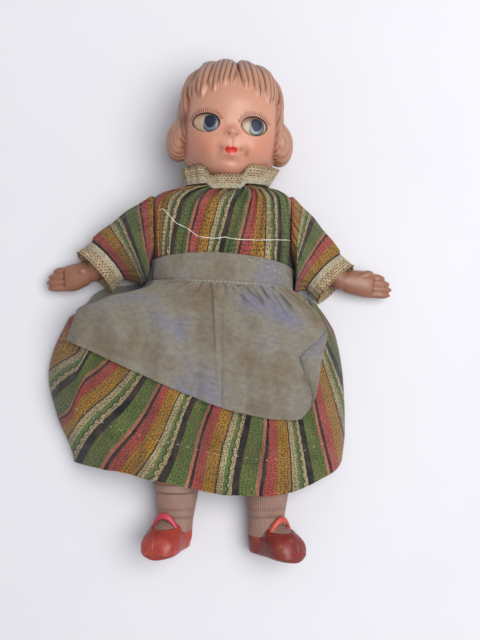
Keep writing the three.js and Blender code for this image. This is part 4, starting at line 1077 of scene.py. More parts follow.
def arm_grids(elbow, wrist, palm, tip, thumb_tip):
    """Grids of the shoulder ball, the limb to the palm, four fingers and the thumb."""
    ex, ey, ez = elbow
    wx, wy, wz = wrist
    px, py, pz = palm
    palm, tip = np.array(palm), np.array(tip)
    knuckles = palm + (tip - palm) * 0.26
    profile = [(0, 0.2), (0, 8.5), (1, 9.3), (5, 9.5), (10, 8.7), (14, 5.5), (15.5, 0.2)]
    grids = [joint_ball(SHOULDER_SEAT, profile, SHOULDER)]
    grids.append(limb([
        [SHOULDER_SEAT + 6, 53, 27, 7.2, 7.2], [ex - 7.5, ey + 7.8, ez + 5, 7.3, 7.3], [ex, ey, ez, 8.2, 7.9],
        [(ex + wx) / 2, (ey + wy) / 2 + 0.5, (ez + wz) / 2 - 1.5, 7.7, 7.05], [wx, wy, wz, 6.3, 5.8],
        [wx + 2.6, wy - 1.0, wz - 0.5, 6.0, 5.4], [wx + 6, wy - 1.6, wz - 0.9, 7.2, 5.5],
        [px, py, pz, 8.1, 5.4], [*knuckles, 7.7, 4.5]]))
    for k in range(4):
        offset = (k - 1.5) * 3.55
        root = knuckles + np.array([-4.0, offset, 0.6 - 0.3 * (k - 1.5) ** 2])
        toward = np.array([tip[0] - (1.0, 0.0, 1.2, 4.2)[k], tip[1] + 0.96 * offset, tip[2] - 0.8 - 0.2 * k])
        grids.append(finger(root, toward, 2.35))
    grids.append(finger(np.array([px - 8, py + 2.5, pz + 1.6]), np.array(thumb_tip), 3.1))
    return grids


arm_parts = arm_grids(*ARM_PATHS["left"])
print("parts of an arm", len(arm_parts), "its ball from x", arm_parts[0][..., 0].min().round(1))

# %% [markdown]
# A voxel remesh fuses the overlapping skins as the mould did: boolean unions of so many rounded parts
# would leave slivers. Each point is then eased towards its neighbours. Where a point lies below the mean
# of its neighbours there is a hollow, and the material darkens it there with painted shade.

# %% Arms
def hollow_shade(mesh):
    """How far each point lies below its neighbours' mean along its normal, eased, as a share of 0.035 mm."""
    edges = np.empty(2 * len(mesh.edges), np.int32)
    mesh.edges.foreach_get("vertices", edges)
    a, b = edges.reshape(-1, 2).T
    points, normals = np.empty(3 * len(mesh.vertices)), np.empty(3 * len(mesh.vertices))
    mesh.vertices.foreach_get("co", points)
    mesh.vertices.foreach_get("normal", normals)
    points, normals = points.reshape(-1, 3), normals.reshape(-1, 3)
    count = np.maximum(np.bincount(a, minlength=len(points)) + np.bincount(b, minlength=len(points)), 1)

    def over_neighbours(values):
        """The mean over each point's neighbours."""
        return (np.bincount(a, values[b], len(points)) + np.bincount(b, values[a], len(points))) / count

    mean = np.stack([over_neighbours(points[:, i]) for i in range(3)], -1)
    depth = np.einsum("ij,ij->i", mean - points, normals) / MM
    for _ in range(4):
        depth = over_neighbours(depth)
    return np.clip(depth / 0.035, 0, 1)


def fused(name, skin):
    """One skin round several overlapping ones: a remesh in voxels of 0.5 mm, eased five times."""
    rough = new_piece(name + "_rough", *skin)
    remesh = rough.modifiers.new("fuse", "REMESH")
    remesh.mode, remesh.voxel_size = "VOXEL", 0.5 * MM
    ease = rough.modifiers.new("ease", "SMOOTH")
    ease.factor, ease.iterations = 0.5, 5
    bpy.context.view_layer.update()
    mesh = bpy.data.meshes.new_from_object(rough.evaluated_get(bpy.context.evaluated_depsgraph_get()))
    bpy.data.objects.remove(rough)
    mesh.polygons.foreach_set("use_smooth", np.ones(len(mesh.polygons), bool))
    mesh.materials.clear()
    return linked(name, mesh)


hand_finish = celluloid("hand_celluloid", eye_colour(152, 103, 80), eye_colour(120, 74, 54), shaded_grooves=True)
for side, name in SIDES:
    skin = merged([skin_faces(grid) for grid in arm_grids(*ARM_PATHS[name])])
    arm = fused(f"{name}_arm_moulding", mirrored(*skin) if side < 0 else skin)
    arm.data.materials.append(hand_finish)
    # Painted shade in the arm's hollows, such as between the fingers
    set_shares(arm, {"groove_shade_and_dust": hollow_shade(arm.data)})
    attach(arm, f"{name}_arm_body")
    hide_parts(f"{name}_arm")
    print(arm.name, "faces", len(arm.data.polygons))

# %% [markdown]
# Each leg is one moulding too, with a ribbed sock and a strap shoe that only paint tells apart. The
# paint follows numbers kept at each point, so that its edges can be as sharp as the shape's. It is worn
# off in spots, where the skin's colour shows.

# %% The legs' finish
HIP_SEAT, HEEL, FOOT_LENGTH, WELT_Y = 11.3, 9.0, 36.5, -101.0
LEGS = {
    "left": dict(sole=-143.6, turn=22, lean=[26, 26.2, 26.5, 27, 27.4, 27.8, 28.8, 29.5, 29.7],
                 shoe=[(140, 44, 34), (164, 57, 45), (174, 88, 66)], strap=(184, 56, 74)),
    # The right shoe's tones are darker than the left's: painted shade over the same red paint
    "right": dict(sole=-146.6, turn=40, lean=[26, 26.2, 26.5, 27, 27, 26.9, 26.6, 26.4, 26.4],
                  shoe=[(96, 26, 20), (126, 38, 29), (136, 68, 48)], strap=(190, 74, 60)),
}


def leg_skin(name, shoe_paint, strap_paint):
    """Celluloid whose paint follows the sock and shoe shares kept at its points."""
    shader = Shader(name, Coat_Weight=0.15, Coat_Roughness=0.3)
    place = shader.place()
    skin = shader.blend(shader.times(shader.noise(place, 60.0, 4.0), 0.6),
                        eye_colour(212, 142, 112), eye_colour(178, 108, 78))
    sock = shader.blend(shader.noise(place, 110.0, 4.0), eye_colour(168, 138, 124), eye_colour(130, 92, 78))
    shoe_tones = [eye_colour(*tone) for tone in shoe_paint]
    shoe = shader.ramp(shader.noise(place, 95.0, 5.0, 0.65), list(zip((0.3, 0.52, 0.74), shoe_tones)))
    rubbed = shader.ramp(shader.noise(place, 420.0, 4.0, 0.7), [(0.62, grey(0)), (0.72, grey(0.6))])
    shoe = shader.blend(rubbed, shoe, eye_colour(176, 112, 84))
    shoe = shader.blend(shader.attribute("strap"), shoe, eye_colour(*strap_paint))
    tone = shader.blend(shader.attribute("sock"), skin, sock)
    tone = shader.blend(shader.attribute("shoe"), tone, shoe)
    # Painted shade, and dust, in the creases, seams and rib valleys kept at the points
    tone = shader.blend(shader.attribute("groove_shade_and_dust"), tone, eye_colour(72, 38, 28))
    shader.colour(tone)
    shader.rough(shader.line(shader.noise(place, 200.0, 4.0), 0.3, 0.32))
    shader.bump(shader.noise(place, 300.0, 3.0), 0.00012, 0.4)
    return shader.material


finishes = {name: leg_skin(f"{name}_leg_celluloid", leg["shoe"], leg["strap"]) for name, leg in LEGS.items()}
print("leg materials", [finish.name for finish in finishes.values()])

# %% [markdown]
# The limb's ovals run from the hip down to the ankle. The sock's top is a raised welt; below it knitted
# ribs run down, and the cloth creases twice over the ankle. A knitted tube of its own would be another
# piece, but the real sock is part of the moulding.

# %% Leg and sock
def sock_ribs(angle, y):
    """Height of the knitted ribs, and painted shade and dust in their valleys: sixty rounded cosines round the
    leg.
    """
    wave = np.cos(30 * angle + 0.25 * np.sin(y * 0.35))
    return 0.26 * np.abs(wave) ** 0.7 + 0.05 * np.sin(y * 2.6), np.clip(1 - 2.0 * np.abs(wave), 0, 1)


def leg_and_sock(foot):
    """The limb to the ankle, swollen by the sock's welt and ribs; with its shares of paint and of painted shade
    and dust.
    """
    y = np.array([-22, -43, -59, -75, -99, -108, -123, -135, foot["sole"] + 3])
    stations = np.column_stack([foot["lean"], y, [19, 18, 17, 15, 14.4, 14.2, 12.2, 11.8, 11.6],
                                [12.5, 14.2, 14, 12.4, 13.3, 12.7, 10.9, 10.6, 9.0],
                                [13, 14.6, 14, 12.6, 13.3, 12.6, 10.7, 10.5, 9.0]])
    leg = limb(stations, 360, 130)
    angle = TURN * np.arange(360) / 360
    at_y = leg[..., 1]
    ribs, shade_and_dust = sock_ribs(angle, at_y)
    sock = smooth(WELT_Y + 0.1, WELT_Y - 0.5, at_y)
    welt = 0.75 * sock * smooth(WELT_Y - 5.6, WELT_Y - 5.0, at_y)
    fold = -0.6 * bump(at_y + 122, 0, 1.1, 1) - 0.45 * bump(at_y + 117, 0, 1.0, 1)
    swell = welt + sock * ((1 - 0.5 * (welt > 0.4)) * ribs + fold * np.clip(np.sin(angle), 0, 1))
    leg = leg + (leg - leg.mean(1, keepdims=True)) * (swell / 12)[..., None]
    # Painted shade at the welt's edges and in the ankle's creases
    crease_shade = 0.8 * bump(at_y - WELT_Y + 5.4, 0, 0.5, 1) + 0.6 * bump(at_y - WELT_Y, 0, 0.4, 1) - 0.5 * fold
    in_shoe = smooth(foot["sole"] + 13.4, foot["sole"] + 12.9, at_y)
    return leg, sock, in_shoe, 0 * sock, sock * np.clip(shade_and_dust * 0.6 + crease_shade, 0, 1) * (1 - in_shoe)


print("leg and sock points", leg_and_sock(LEGS["left"])[0].shape)

# %% [markdown]
# The shoe stands on its sole, toe up, and turns outwards. The foot is a row of ovals along it, squarer
# towards the sole. The shoe is raised over the sock round the heel, and over the toe beyond an oval
# opening, with a seam down the toe and a line where the sole begins. Its strap is a band bent over the
# instep.

# %% Shoe and strap
def foot_surface(along, angle):
    """The foot at a distance along it from the heel, round at the top and squarer towards the sole."""
    stations = [[8, 7.4, 3], [9.6, 8.6, 5.5], [11, 9.2, 12], [11, 9.6, 18], [9.4, 10.3, 23], [8.0, 10.6, 28],
                [6.7, 9.2, 33], [4.8, 6.2, 35.6], [2.6, 2.6, FOOT_LENGTH]]
    rows = row_at(stations, along * (len(stations) - 1))
    height, half = rows[:, 0, None], rows[:, 1, None]
    low = np.sin(angle) < 0
    side = powered(np.cos(angle), np.where(low, 0.62, 1))
    lift = powered(np.sin(angle), np.where(low, 0.5, 1))
    x, y = half * side, height + lift * height
    return np.stack([x, y, np.broadcast_to(rows[:, 2, None], x.shape)], -1)


def opening(x, z):
    """1 on the edge of the shoe's oval opening, less inside it."""
    return np.hypot(x / 7.4, (z - 20.0) / 8.8)


def place_foot(points, foot):
    """Local shoe points (across, up from the sole, toward the toe) turned out and set on the leg."""
    turn = math.radians(foot["turn"])
    c, s = math.cos(turn), math.sin(turn)
    x, y, z = points[..., 0], points[..., 1], points[..., 2] - HEEL
    return np.stack([c * x + s * z + foot["lean"][-1], y + foot["sole"], -s * x + c * z + HEEL + 1.7], -1)


def shoe(foot):
    """The foot, raised where the shoe covers it and ribbed where the sock shows; with its shares."""
    shape = foot_surface(np.linspace(0, 1, 140), TURN * np.arange(240) / 240)
    fx, fy, fz = shape[..., 0], shape[..., 1], shape[..., 2]
    oval = opening(fx, fz)
    share = np.maximum(smooth(0.97, 1.03, oval) * smooth(18.5, 19.5, fz), smooth(13.4, 12.8, fy))
    edge = bump(oval - 1.12, 0, 0.04, 1) * (fz > 20) * (fy > 8)
    seam = bump(fx, 0, 0.35, 1) * smooth(28.5, 29.5, fz) * (fy > 6)
    sole_line = bump(fy - 2.2, 0, 0.45, 1) * (fz > 10)
    out = grid_normals(shape, True)
    out *= np.sign(np.einsum("ijk,ijk->ij", out, shape - shape.mean(1, keepdims=True)).mean())
    ribs, shade_and_dust = sock_ribs(np.arctan2(fy - 8, fx), fz)
    raised = 0.9 * share + 0.25 * edge - 0.35 * seam - 0.3 * sole_line + (1 - share) * ribs
    shape = shape + out * (raised * smooth(0.5, 3, fy))[..., None]
    shape[..., 1] = np.maximum(shape[..., 1], 0)
    # Painted shade, with dust, in the toe's seam, along the sole's line, at the shoe's edge and in the sock's
    # ribs
    crease_shade = 0.6 * seam + 0.5 * sole_line + 0.8 * bump(share - 0.5, 0, 0.3, 1) + (1 - share) * shade_and_dust * 0.5
    return place_foot(shape, foot), 1 + 0 * share, share, 0 * share, np.clip(crease_shade, 0, 1)


def strap(foot):
    """A flat band, squarish in section, along a half ellipse over the instep; with its shares."""
    arch, profile = np.pi * np.linspace(0, 1, 70)[:, None], TURN * np.arange(16) / 16
    lift = 0.1 + 1.1 * powered(np.sin(profile), 0.6)
    wide = 2.1 * np.cos(profile)
    c, s = np.cos(arch), np.sin(arch)
    band = np.stack([(9.3 + lift) * c + 0 * wide, 6 + 17.4 * s + 0.4 * lift * s - 0.9 * s * wide,
                     23.3 - 3.5 * c * c + 0.95 * lift * s + (1 - 0.7 * s) * wide], -1)
    one = np.ones(band.shape[:2])
    # The last share is painted shade where the strap lies on the foot
    return place_foot(band, foot), 0 * one, one, one, 0.2 * one * (lift < 0.4)


print("shoe points", shoe(LEGS["left"])[0].shape, "strap points", strap(LEGS["left"])[0].shape)

# %% [markdown]
# Leg, shoe, strap and the ball at the hip overlap and are one mesh, as they are one moulding. They are
# not fused by voxels, since that would blur the ribs. Both are drawn on the right; the left is mirrored.

# %% Legs
def hip_ball():
    """The ball at the hip, with no paint or painted shade."""
    profile = [(0, 0.2), (0, 14.6), (1.4, 15.8), (7, 16), (15, 15.4), (20, 12), (22.5, 6), (23, 0.2)]
    ball = joint_ball(HIP_SEAT, profile, HIP)
    return (ball, *[np.zeros(ball.shape[:2])] * 4)


for side, name in SIDES:
    foot = LEGS[name]
    grids, *shares = zip(leg_and_sock(foot), shoe(foot), strap(foot), hip_ball())
    skin = merged([skin_faces(grid) for grid in grids])
    leg = new_piece(f"{name}_leg_moulding", *(mirrored(*skin) if side < 0 else skin), None, finishes[name],
                    f"{name}_leg_body", "celluloid_skin")
    for kind, values in zip(("sock", "shoe", "strap", "groove_shade_and_dust"), shares):
        set_shares(leg, {kind: np.concatenate([with_ends(part) for part in values])})
    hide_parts(f"{name}_leg")
    print(leg.name, "faces", len(leg.data.polygons))

# %% [markdown]
# A line of sewing is real thread: thin strands joined onto the cloth's mesh, in a second material. A
# drawn line would look flat where the light grazes it.

# %% Stitches
def add_thread(cloth, threads):
    """Cloth with its stitches joined on as thin five-sided strands, and the number of faces that are cloth."""
    if not len(threads):
        return cloth, len(cloth[1])
    points, faces = merged([skin_faces(tube(path, radius, 5)) for path, radius in threads])
    uv = np.zeros((sum(len(face) for face in faces), 2))
    return merged([cloth, (points, faces, uv)]), len(cloth[1])


def two_finishes(piece, finish, first):
    """Gives the faces from number first on a second material."""
    piece.data.materials.append(finish)
    index = np.zeros(len(piece.data.polygons), np.int32)
    index[first:] = 1
    piece.data.polygons.foreach_set("material_index", index)


stitch = [(np.array([[0.0, 0, 0], [1.0, 0, 0], [2.0, 0, 0]]), 0.2)]
sewn, _ = add_thread(cloth_faces(swatch, 0.5, np.zeros((3, 3, 2))), stitch)
print("faces of a swatch with one stitch", len(sewn[1]))

# %% [markdown]
# The bodice is gathered onto the neck. Its section round the body is an oval that is squarer between the
# armholes; the gathers are waves of its depth, deep under the collar and again above the band. The
# pattern's place across the cloth is the length along one of its rows, so the gathers take up cloth.

# %% The bodice's surface
CLOTH, BODICE_LENGTH, ARMHOLE = 0.45, 50, 10.4
BODICE_HALF = 40.4
# Rows from the waist up: y, half depth, middle's height, squareness of the oval and half width
BODICE_ROWS = [[26, 22.4, 25, 0.85, 38.2], [40, 23, 25.2, 0.55, 39.8], [52, 23.4, 25.8, 0.4, 40.4],
               [63, 22.4, 26.8, 0.4, 40.4], [68, 21, 28, 0.5, 38.9], [71.5, 19.4, 29, 0.75, 33.4],
               [73.2, 18, 30, 0.85, 24]]


def section(angle, half_x, half_z, y, z, power):
    """The oval round the body at y; a lower power makes it squarer."""
    lift = powered(np.sin(angle), power)
    return np.stack(np.broadcast_arrays(half_x * np.cos(angle), y, z + half_z * lift), -1)


def lean(angle, v):
    """How far gathers and stripes lean: the left and middle ones run down to the left."""
    return (0.62 * smooth(0.75, 1.35, angle) * smooth(3.2, 2.5, angle) - 0.1) * (v - 0.4)


def bodice_grid(angle, v, inset, gathers):
    """Points of the bodice at angles round the body and shares v up it, from the waist to the neck."""
    rows = row_at(BODICE_ROWS, v * (len(BODICE_ROWS) - 1))
    y, half_z, z, power, half_x = (rows[..., i] for i in range(5))
    front = smooth(0, 0.25, np.sin(angle))
    deep = gathers * (0.35 + 0.75 * smooth(0.3, 0.85, v) + 0.35 * smooth(0.25, 0, v))
    bent = angle + lean(angle, v)
    wave = np.sin(30 * bent + 1.4 * np.sin(5 * bent + 4 * v)) + 0.5 * np.sin(53 * bent + 2.5 * v + 1)
    point = section(angle, np.minimum(half_x, BODICE_HALF) - inset, half_z + deep * wave * front - inset,
                    y - inset * smooth(0.75, 1, v), z, power)
    point[..., 0] += NECK[0] * smooth(0.7, 1, v)
    return point


print("middle of the bodice's front at the neck", bodice_grid(np.pi / 2, np.array(1.0), 0, 1.8).round(1))

# %% [markdown]
# The dress opens at the back, so its bodice is three panels: a gathered front and two smoother backs
# that lap over each other. A round armhole is left open at each side, where the arm's elastic runs. One
# line of tacking thread crosses the front.

# %% Bodice
def bodice_panel(name, from_angle, to_angle, inset, gathers, flat_width, phase, cols, threads=()):
    """A panel between two angles; the print's place across is the length along its 35th row of 110."""
    gathered = gathers > 0.5
    t = 0.5 - 0.5 * np.cos(np.pi * np.linspace(0, 1, cols)) if gathered else np.linspace(0, 1, cols)
    v, angle = np.meshgrid(np.linspace(0, 1, 110), mix(from_angle, to_angle, t), indexing="ij")
    grid = bodice_grid(angle, v, inset, gathers)
    place = length_along(grid[35])
    slant = lean(angle, v) * flat_width / math.pi if gathered else 0
    uv = np.stack(np.broadcast_arrays(place / place[-1] * flat_width + phase - slant, BODICE_LENGTH * v), -1)
    middle = (grid[:-1, :-1] + grid[1:, 1:]) / 2
    from_joint = np.hypot(middle[..., 1] - SHOULDER[1], middle[..., 2] - SHOULDER[2])
    keep = (np.abs(middle[..., 0]) < 33) | (from_joint > ARMHOLE)
    made, first = add_thread(cloth_faces(grid, CLOTH, uv, False, keep), threads)
    piece = new_piece(name, *made, dress_finish, "torso", "striped_cotton")
    two_finishes(piece, thread_finish, first)
    print(name, "area mm2", round(grid_area(grid)), "flat", flat_width, "x", BODICE_LENGTH)
    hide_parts(name.replace("_cotton", ""))


SEAM, LAP = math.radians(0.6), math.radians(4.5)
tacking = row_at([[-35.8, 59.3], [-33.4, 59.3], [-29.9, 55.8], [-25.8, 51.7], [-21.1, 49.3], [-17, 46.4],
                  [-12.9, 43.7], [-3.5, 42.9], [1.8, 43.4], [8.2, 42.3], [19.8, 42], [28.8, 42.3],
                  [39.0, 42.6]], np.linspace(0, 12, 260))
tacking_v = np.interp(tacking[:, 1], [row[0] for row in BODICE_ROWS], np.linspace(0, 1, len(BODICE_ROWS)))
tacking_path = bodice_grid(np.arccos(np.clip(tacking[:, 0] / 40.2, -1, 1)), tacking_v, -CLOTH, 1.8)
bodice_panel("bodice_front_cotton", math.pi - SEAM, SEAM, 0, 1.8, 142, 24.0, 420, [(tacking_path, 0.26)])
bodice_panel("bodice_back_left_cotton", math.pi + SEAM, 1.5 * math.pi + LAP, 2.6, 0.2, 60, 10.0, 120)
bodice_panel("bodice_back_right_cotton", 1.5 * math.pi - LAP, TURN - SEAM, 0, 0.2, 62, 30.0, 120)

# %% [markdown]
# The lace is a strip of crochet: a plain sewn part, rows of small holes, and a free edge of tiny loops.
# The holes are quads left out of a fine grid, so light and shadow fall through them, which a picture of
# holes wouldn't do. A low relief across the strip gives the worked rows.

# %% Lace
# Rows of holes: share across the strip, half sizes along (mm) and across (share), shift in pitches
LACE_ROWS = [(0.40, 0.6, 0.034, 0.5), (0.53, 0.6, 0.034, 0.0), (0.66, 0.6, 0.034, 0.5), (0.82, 0.4, 0.034, 0.0)]
LACE_PITCH, LACE_LOOP, LACE_V = 1.9, 2.2, 46


def lace_keep(columns, repeats, scallop):
    """Which quads of a strip stay: none inside the ovals of the holes or beyond the looped edge."""
    length = repeats * LACE_PITCH
    quad_v, quad_u = np.meshgrid(np.linspace(0, 1, LACE_V - 1), np.arange(columns) / columns * length,
                                 indexing="ij")
    edge = 1 - scallop * (1 - np.abs(np.sin(np.pi * quad_u * round(length / LACE_LOOP) / length)))
    hole = np.zeros(quad_u.shape, bool)
    for at, half_u, half_v, offset in LACE_ROWS:
        across = ((quad_u / LACE_PITCH + offset) % 1 - 0.5) * LACE_PITCH
        hole |= (across / half_u) ** 2 + ((quad_v - at) / half_v) ** 2 < 1
    return (quad_v < edge) & ~hole


def lace_relief(v, rise):
    """Height of the strip's sewn band, its worked rows and its thick outer edge."""
    worked = np.cos(TURN * (v - 0.465) / 0.13) * smooth(0.3, 0.38, v) * smooth(0.8, 0.72, v)
    return rise * (0.3 * smooth(0.3, 0.24, v) + 0.15 * worked + 0.5 * smooth(0.87, 0.93, v))


def lace_uv(columns):
    """Share across the strip at every point, for the material."""
    return np.stack(np.broadcast_arrays(np.linspace(0, 1, LACE_V)[:, None], np.zeros((1, columns + 1))), -1)


print("holes of a short strip", int((~lace_keep(40, 4, 0.1)).sum()), "quads of", 40 * (LACE_V - 1))

# %% [markdown]
# A sleeve is a tube from a ring on the armhole to the oval of the cuff, puffed between them and sagging
# towards the table. Its stripes run round it, so the pattern's width is the length down the sleeve.
# Where it would sink into the table it is kept just above it, as real cloth lies down flat. The cuff's
# lace goes on from the same oval.

# %% Sleeves and cuffs
# Sag in millimetres, middle of the cuff, and the way the arm runs there
CUFFS = {
    "left": (9.0, np.array([69.6, 32.4, 12.6]), np.array([0.74, -0.673, 0.0])),
    "right": (11.0, np.array([61.4, 25.4, 12.6]), np.array([0.71, -0.704, 0.0])),
}
CUFF_HALF, CUFF_DEEP = 14.5, 11.0
LOWEST = 0.6


def cuff_ring(cuff, angle, along, flare):
    """The cuff's oval, moved along the arm and grown by flare."""
    _, centre, direction = cuff
    across = np.array([direction[1], -direction[0], 0])
    wide, high = (CUFF_HALF + flare) * np.sin(angle), (CUFF_DEEP + flare) * np.cos(angle)
    return (centre + direction * (along - 3.0 * np.cos(angle))[..., None] - across * wide[..., None]
            + np.array([0, 0, 1.0]) * high[..., None])


def sleeve_grid(cuff):
    """A straight tube between armhole and cuff, moved outwards by puff, gathers, sag and soft waves."""
    sag, centre, _ = cuff
    v, angle = round_grid(90, 300)
    ring = np.stack([0 * angle + SLEEVE_START + 0.1, SHOULDER[1] + 15 * np.sin(angle),
                     SHOULDER[2] + 15 * np.cos(angle)], -1)
    middle = mix(ring, cuff_ring(cuff, angle, 0 * v, 0 * v), v[..., None])
    core = mix(np.array([SLEEVE_START, *SHOULDER[1:]]), centre, v[..., None])
    out = middle - core
    out /= np.linalg.norm(out, axis=-1, keepdims=True)
    puff = 2.6 * np.sin(np.pi * v) ** 0.8
    pinch = 0.35 + 0.65 * np.maximum(smooth(0.35, 0, v), smooth(0.55, 1, v))
    wave = np.sin(16 * angle + 1.5 * np.sin(2 * angle + 3 * v)) + 0.5 * np.sin(27 * angle - 2 * v)
    gather = 0.95 * wave * pinch * smooth(0, 0.04, v) * smooth(1, 0.95, v)
    drop = sag * np.maximum(0, -np.sin(angle)) * smooth(0.0, 0.35, v) * smooth(1, 0.6, v)
    waves = 0.7 * ripples(angle * 12, v * 40, 22, 5) * np.sin(np.pi * v)
    middle = middle + out * (puff + gather + drop + waves)[..., None]
    middle[..., 0] = np.maximum(middle[..., 0], SLEEVE_START + 3.4 * smooth(0, 0.2, v))
    middle[..., 2] = np.maximum(middle[..., 2], LOWEST)
    return middle


for side, name in SIDES:
    grid = sleeve_grid(CUFFS[name]) * [side, 1, 1]
    down, around = np.meshgrid(np.linspace(0, 1, 90), 110 * np.linspace(0, 1, 301), indexing="ij")
    cut_uv = np.stack([85.5 - 52 * down if side < 0 else 52 * down - 43.6, around], -1)
    puffed = new_piece(f"{name}_sleeve_cotton", *cloth_faces(grid, CLOTH, cut_uv, True), dress_finish,
                       f"{name}_arm_body", "striped_cotton")
    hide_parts(f"{name}_sleeve")
    print(puffed.name, "area mm2", round(grid_area(grid, True)))

    v, angle = round_grid(LACE_V, 400)
    ruffle = (0.7 * np.sin(7 * angle + 0.7 * np.sin(3 * angle)) + 0.35 * np.sin(19 * angle)) * v
    flare = 0.6 * v - 0.1 + ruffle + lace_relief(v, 1.0)
    lace = cuff_ring(CUFFS[name], angle, 0.6 + 10.5 * v, flare) * [side, 1, 1]
    lace[..., 2] = np.maximum(lace[..., 2], LOWEST)
    lace_cloth = cloth_faces(lace, 0.55, lace_uv(400), True, lace_keep(400, 43, 0.08))
    frill = new_piece(f"{name}_cuff_crochet", *lace_cloth, lace_finish, f"{name}_arm_body", "cotton_lace")
    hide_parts(f"{name}_cuff_lace")
    print(frill.name, "area before its holes are cut, mm2", round(grid_area(lace, True)))

# %% [markdown]
# The collar is a strip of the same crochet, gathered round the neck so that it stands and flares. It is
# lower in front, under the chin, and bulges into one soft fold on the picture's right.

# %% Collar
v, angle = round_grid(LACE_V, 640)
front = np.sin(angle)
chin = smooth(0.88, 0.955, front)
bulge = bump(angle - math.radians(67), 0, 0.13, 1)
pleats = np.sin(15 * angle + 1.3 * np.sin(4 * angle)) + 0.6 * np.sin(26 * angle + 0.5)
reach = mix(24.4 + 0.4 * np.cos(angle), 28.0 + 2.4 * np.cos(angle), v)
reach = reach + 0.8 * pleats * (0.15 + 0.85 * v) * (1 - 0.6 * chin)
top_y = mix(mix(81.0, 84.6, smooth(-0.9, -0.2, front)), 78.9, chin) + 0.4 * np.sin(9 * angle) + 0.5 * bulge
foot_y = mix(74.4, 71.2, chin)
deep = powered(front, 0.85) * (0.85 + 0.02 * chin)
collar = np.stack([NECK[0] + reach * np.cos(angle), mix(foot_y, top_y, v),
                   NECK[2] + reach * deep + 2.5 * bulge * v + lace_relief(v, 0.8) * front], -1)
collar_cloth = cloth_faces(collar, 0.55, lace_uv(640), True, lace_keep(640, 90, 0.1))
collar_piece = new_piece("collar_crochet", *collar_cloth, lace_finish, "torso", "cotton_lace")
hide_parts("collar_lace")
print("collar area mm2", round(grid_area(collar, True)))

# %% [markdown]
# The skirt is a height over the table: high on the tummy and legs, low at its outline, with folds that
# fan out from the waist. Its outline is two smooth lists of x against y, as the photograph shows it. The
# stripes fan too, so the pattern's place across is the angle from a point above the waist, times the
# distance of that point from the hem.

# %% The skirt's outline and folds
WAIST_Y, WAIST_HALF, WAIST_DEEP, WAIST_Z = 26.0, 39.6, 22.4, 25.0
BAND_BOTTOM, FLARE = 16.9, 15.7
HEM_Y, HEM_SAG, CREST = -90.0, 17.0, 32.0
LEFT_EDGE = [[WAIST_Y, -WAIST_HALF], [FLARE, -WAIST_HALF], [FLARE - 5, -61], [-2, -93], [-34, -106.4],
             [-62, -101.5], [HEM_Y + 2, -91.5]]
RIGHT_EDGE = [[WAIST_Y, WAIST_HALF], [FLARE, WAIST_HALF], [6, 56], [-10, 68.5], [-36, 74], [-73, 75.5],
              [HEM_Y - 2, 73.6]]
FAN_X, FAN_Y, FAN_REACH = 30.0, 55.0, 148.0


def edge_x(edge, y):
    """The outline's x at y, on a smooth row through the list."""
    ys = np.array([row[0] for row in edge], float)
    i = np.clip(np.searchsorted(-ys, -np.asarray(y, float), side="right") - 1, 0, len(ys) - 2)
    t = np.clip((ys[i] - y) / (ys[i] - ys[i + 1]), 0, 1)
    return row_at(edge, i + t)[..., 1]


def tuck_line(y):
    """x of the bunched fold near the skirt's left edge."""
    return -76.9 + 0.26 * (y + 24.5)


def fine_folds(fan, y):
    """Soft uneven pleats between the main folds: three sines in the fan's angle."""
    wander = 0.35 * np.sin(0.045 * y + 9 * fan)
    return (0.9 * (1 + np.sin(fan * 63 + 1.7)) + 0.45 * np.sin(fan * 118 + 2.2 * wander)
            + 0.35 * np.sin(0.16 * y + 13 * fan))


def skirt_height(x, y):
    """Height of the skirt's front over the table: from edge to crest by a rounded share, plus folds."""
    left, right = edge_x(LEFT_EDGE, y), edge_x(RIGHT_EDGE, y)
    down = (WAIST_Y - y) / (WAIST_Y - HEM_Y + HEM_SAG)
    share = np.clip((2 * x - left - right) / (right - left), -1, 1)
    edge = mix(WAIST_Z + 1, 2.0, smooth(FLARE, FLARE - 27, y))
    crest = mix(WAIST_Z + WAIST_DEEP, CREST, smooth(0.09, 1, down) ** 0.9)
    spread = smooth(FLARE, FLARE - 29, y)
    fan = np.arctan2(x, 130 - y)
    grow = smooth(0.08, 0.8, down)
    tuck = np.exp(-(((tuck_line(y) - x - 3) / 4.5) ** 2)) * smooth(-8, -24, y) * smooth(-74, -56, y)
    fold = 1.7 * grow * (1 + np.cos(fan * 39.6 + 0.6)) + grow * fine_folds(fan, y) + 3.2 * tuck
    body = np.maximum(0, 1 - np.abs(share) ** mix(2, 3, spread)) ** mix(0.425, 0.62, spread)
    return edge + (crest - edge) * body + fold * smooth(0, 0.35, body)


def skirt_rows(v):
    """y of the skirt's rows before the hem sags, closer together under the band."""
    first = 1 / 11
    below = np.clip((v - first) / (1 - first), 0, 1)
    return np.where(v < first, mix(WAIST_Y - 0.5, FLARE, v / first), mix(FLARE, HEM_Y, below ** 1.3))


def skirt_sag(y0, v, x):
    """y of a point of the row y0, where the hem hangs lower, most of all right of the middle."""
    left, right = edge_x(LEFT_EDGE, y0), edge_x(RIGHT_EDGE, y0)
    s = np.clip((x - left) / (right - left), 0, 1) ** 1.8
    return y0 - HEM_SAG * v ** 1.5 * 4 * s * (1 - s)


def skirt_pattern(x, y):
    """The stripes' place across the cloth, where they fan out from a point, and along it."""
    tucked = 9 * smooth(-1, 6, tuck_line(y) - x) * smooth(-8, -24, y) * smooth(-74, -56, y)
    wander = 1.3 * np.sin(x / 11 + y / 17) * smooth(0, -40, y)
    across = np.arctan2(x - FAN_X, FAN_Y - y) * FAN_REACH - 1.05 - tucked + wander
    return np.stack([across, np.hypot(x - FAN_X, FAN_Y - y)], -1)


print("skirt's height over the lap, mm", skirt_height(np.array([0.0]), np.array([-20.0])).round(1))

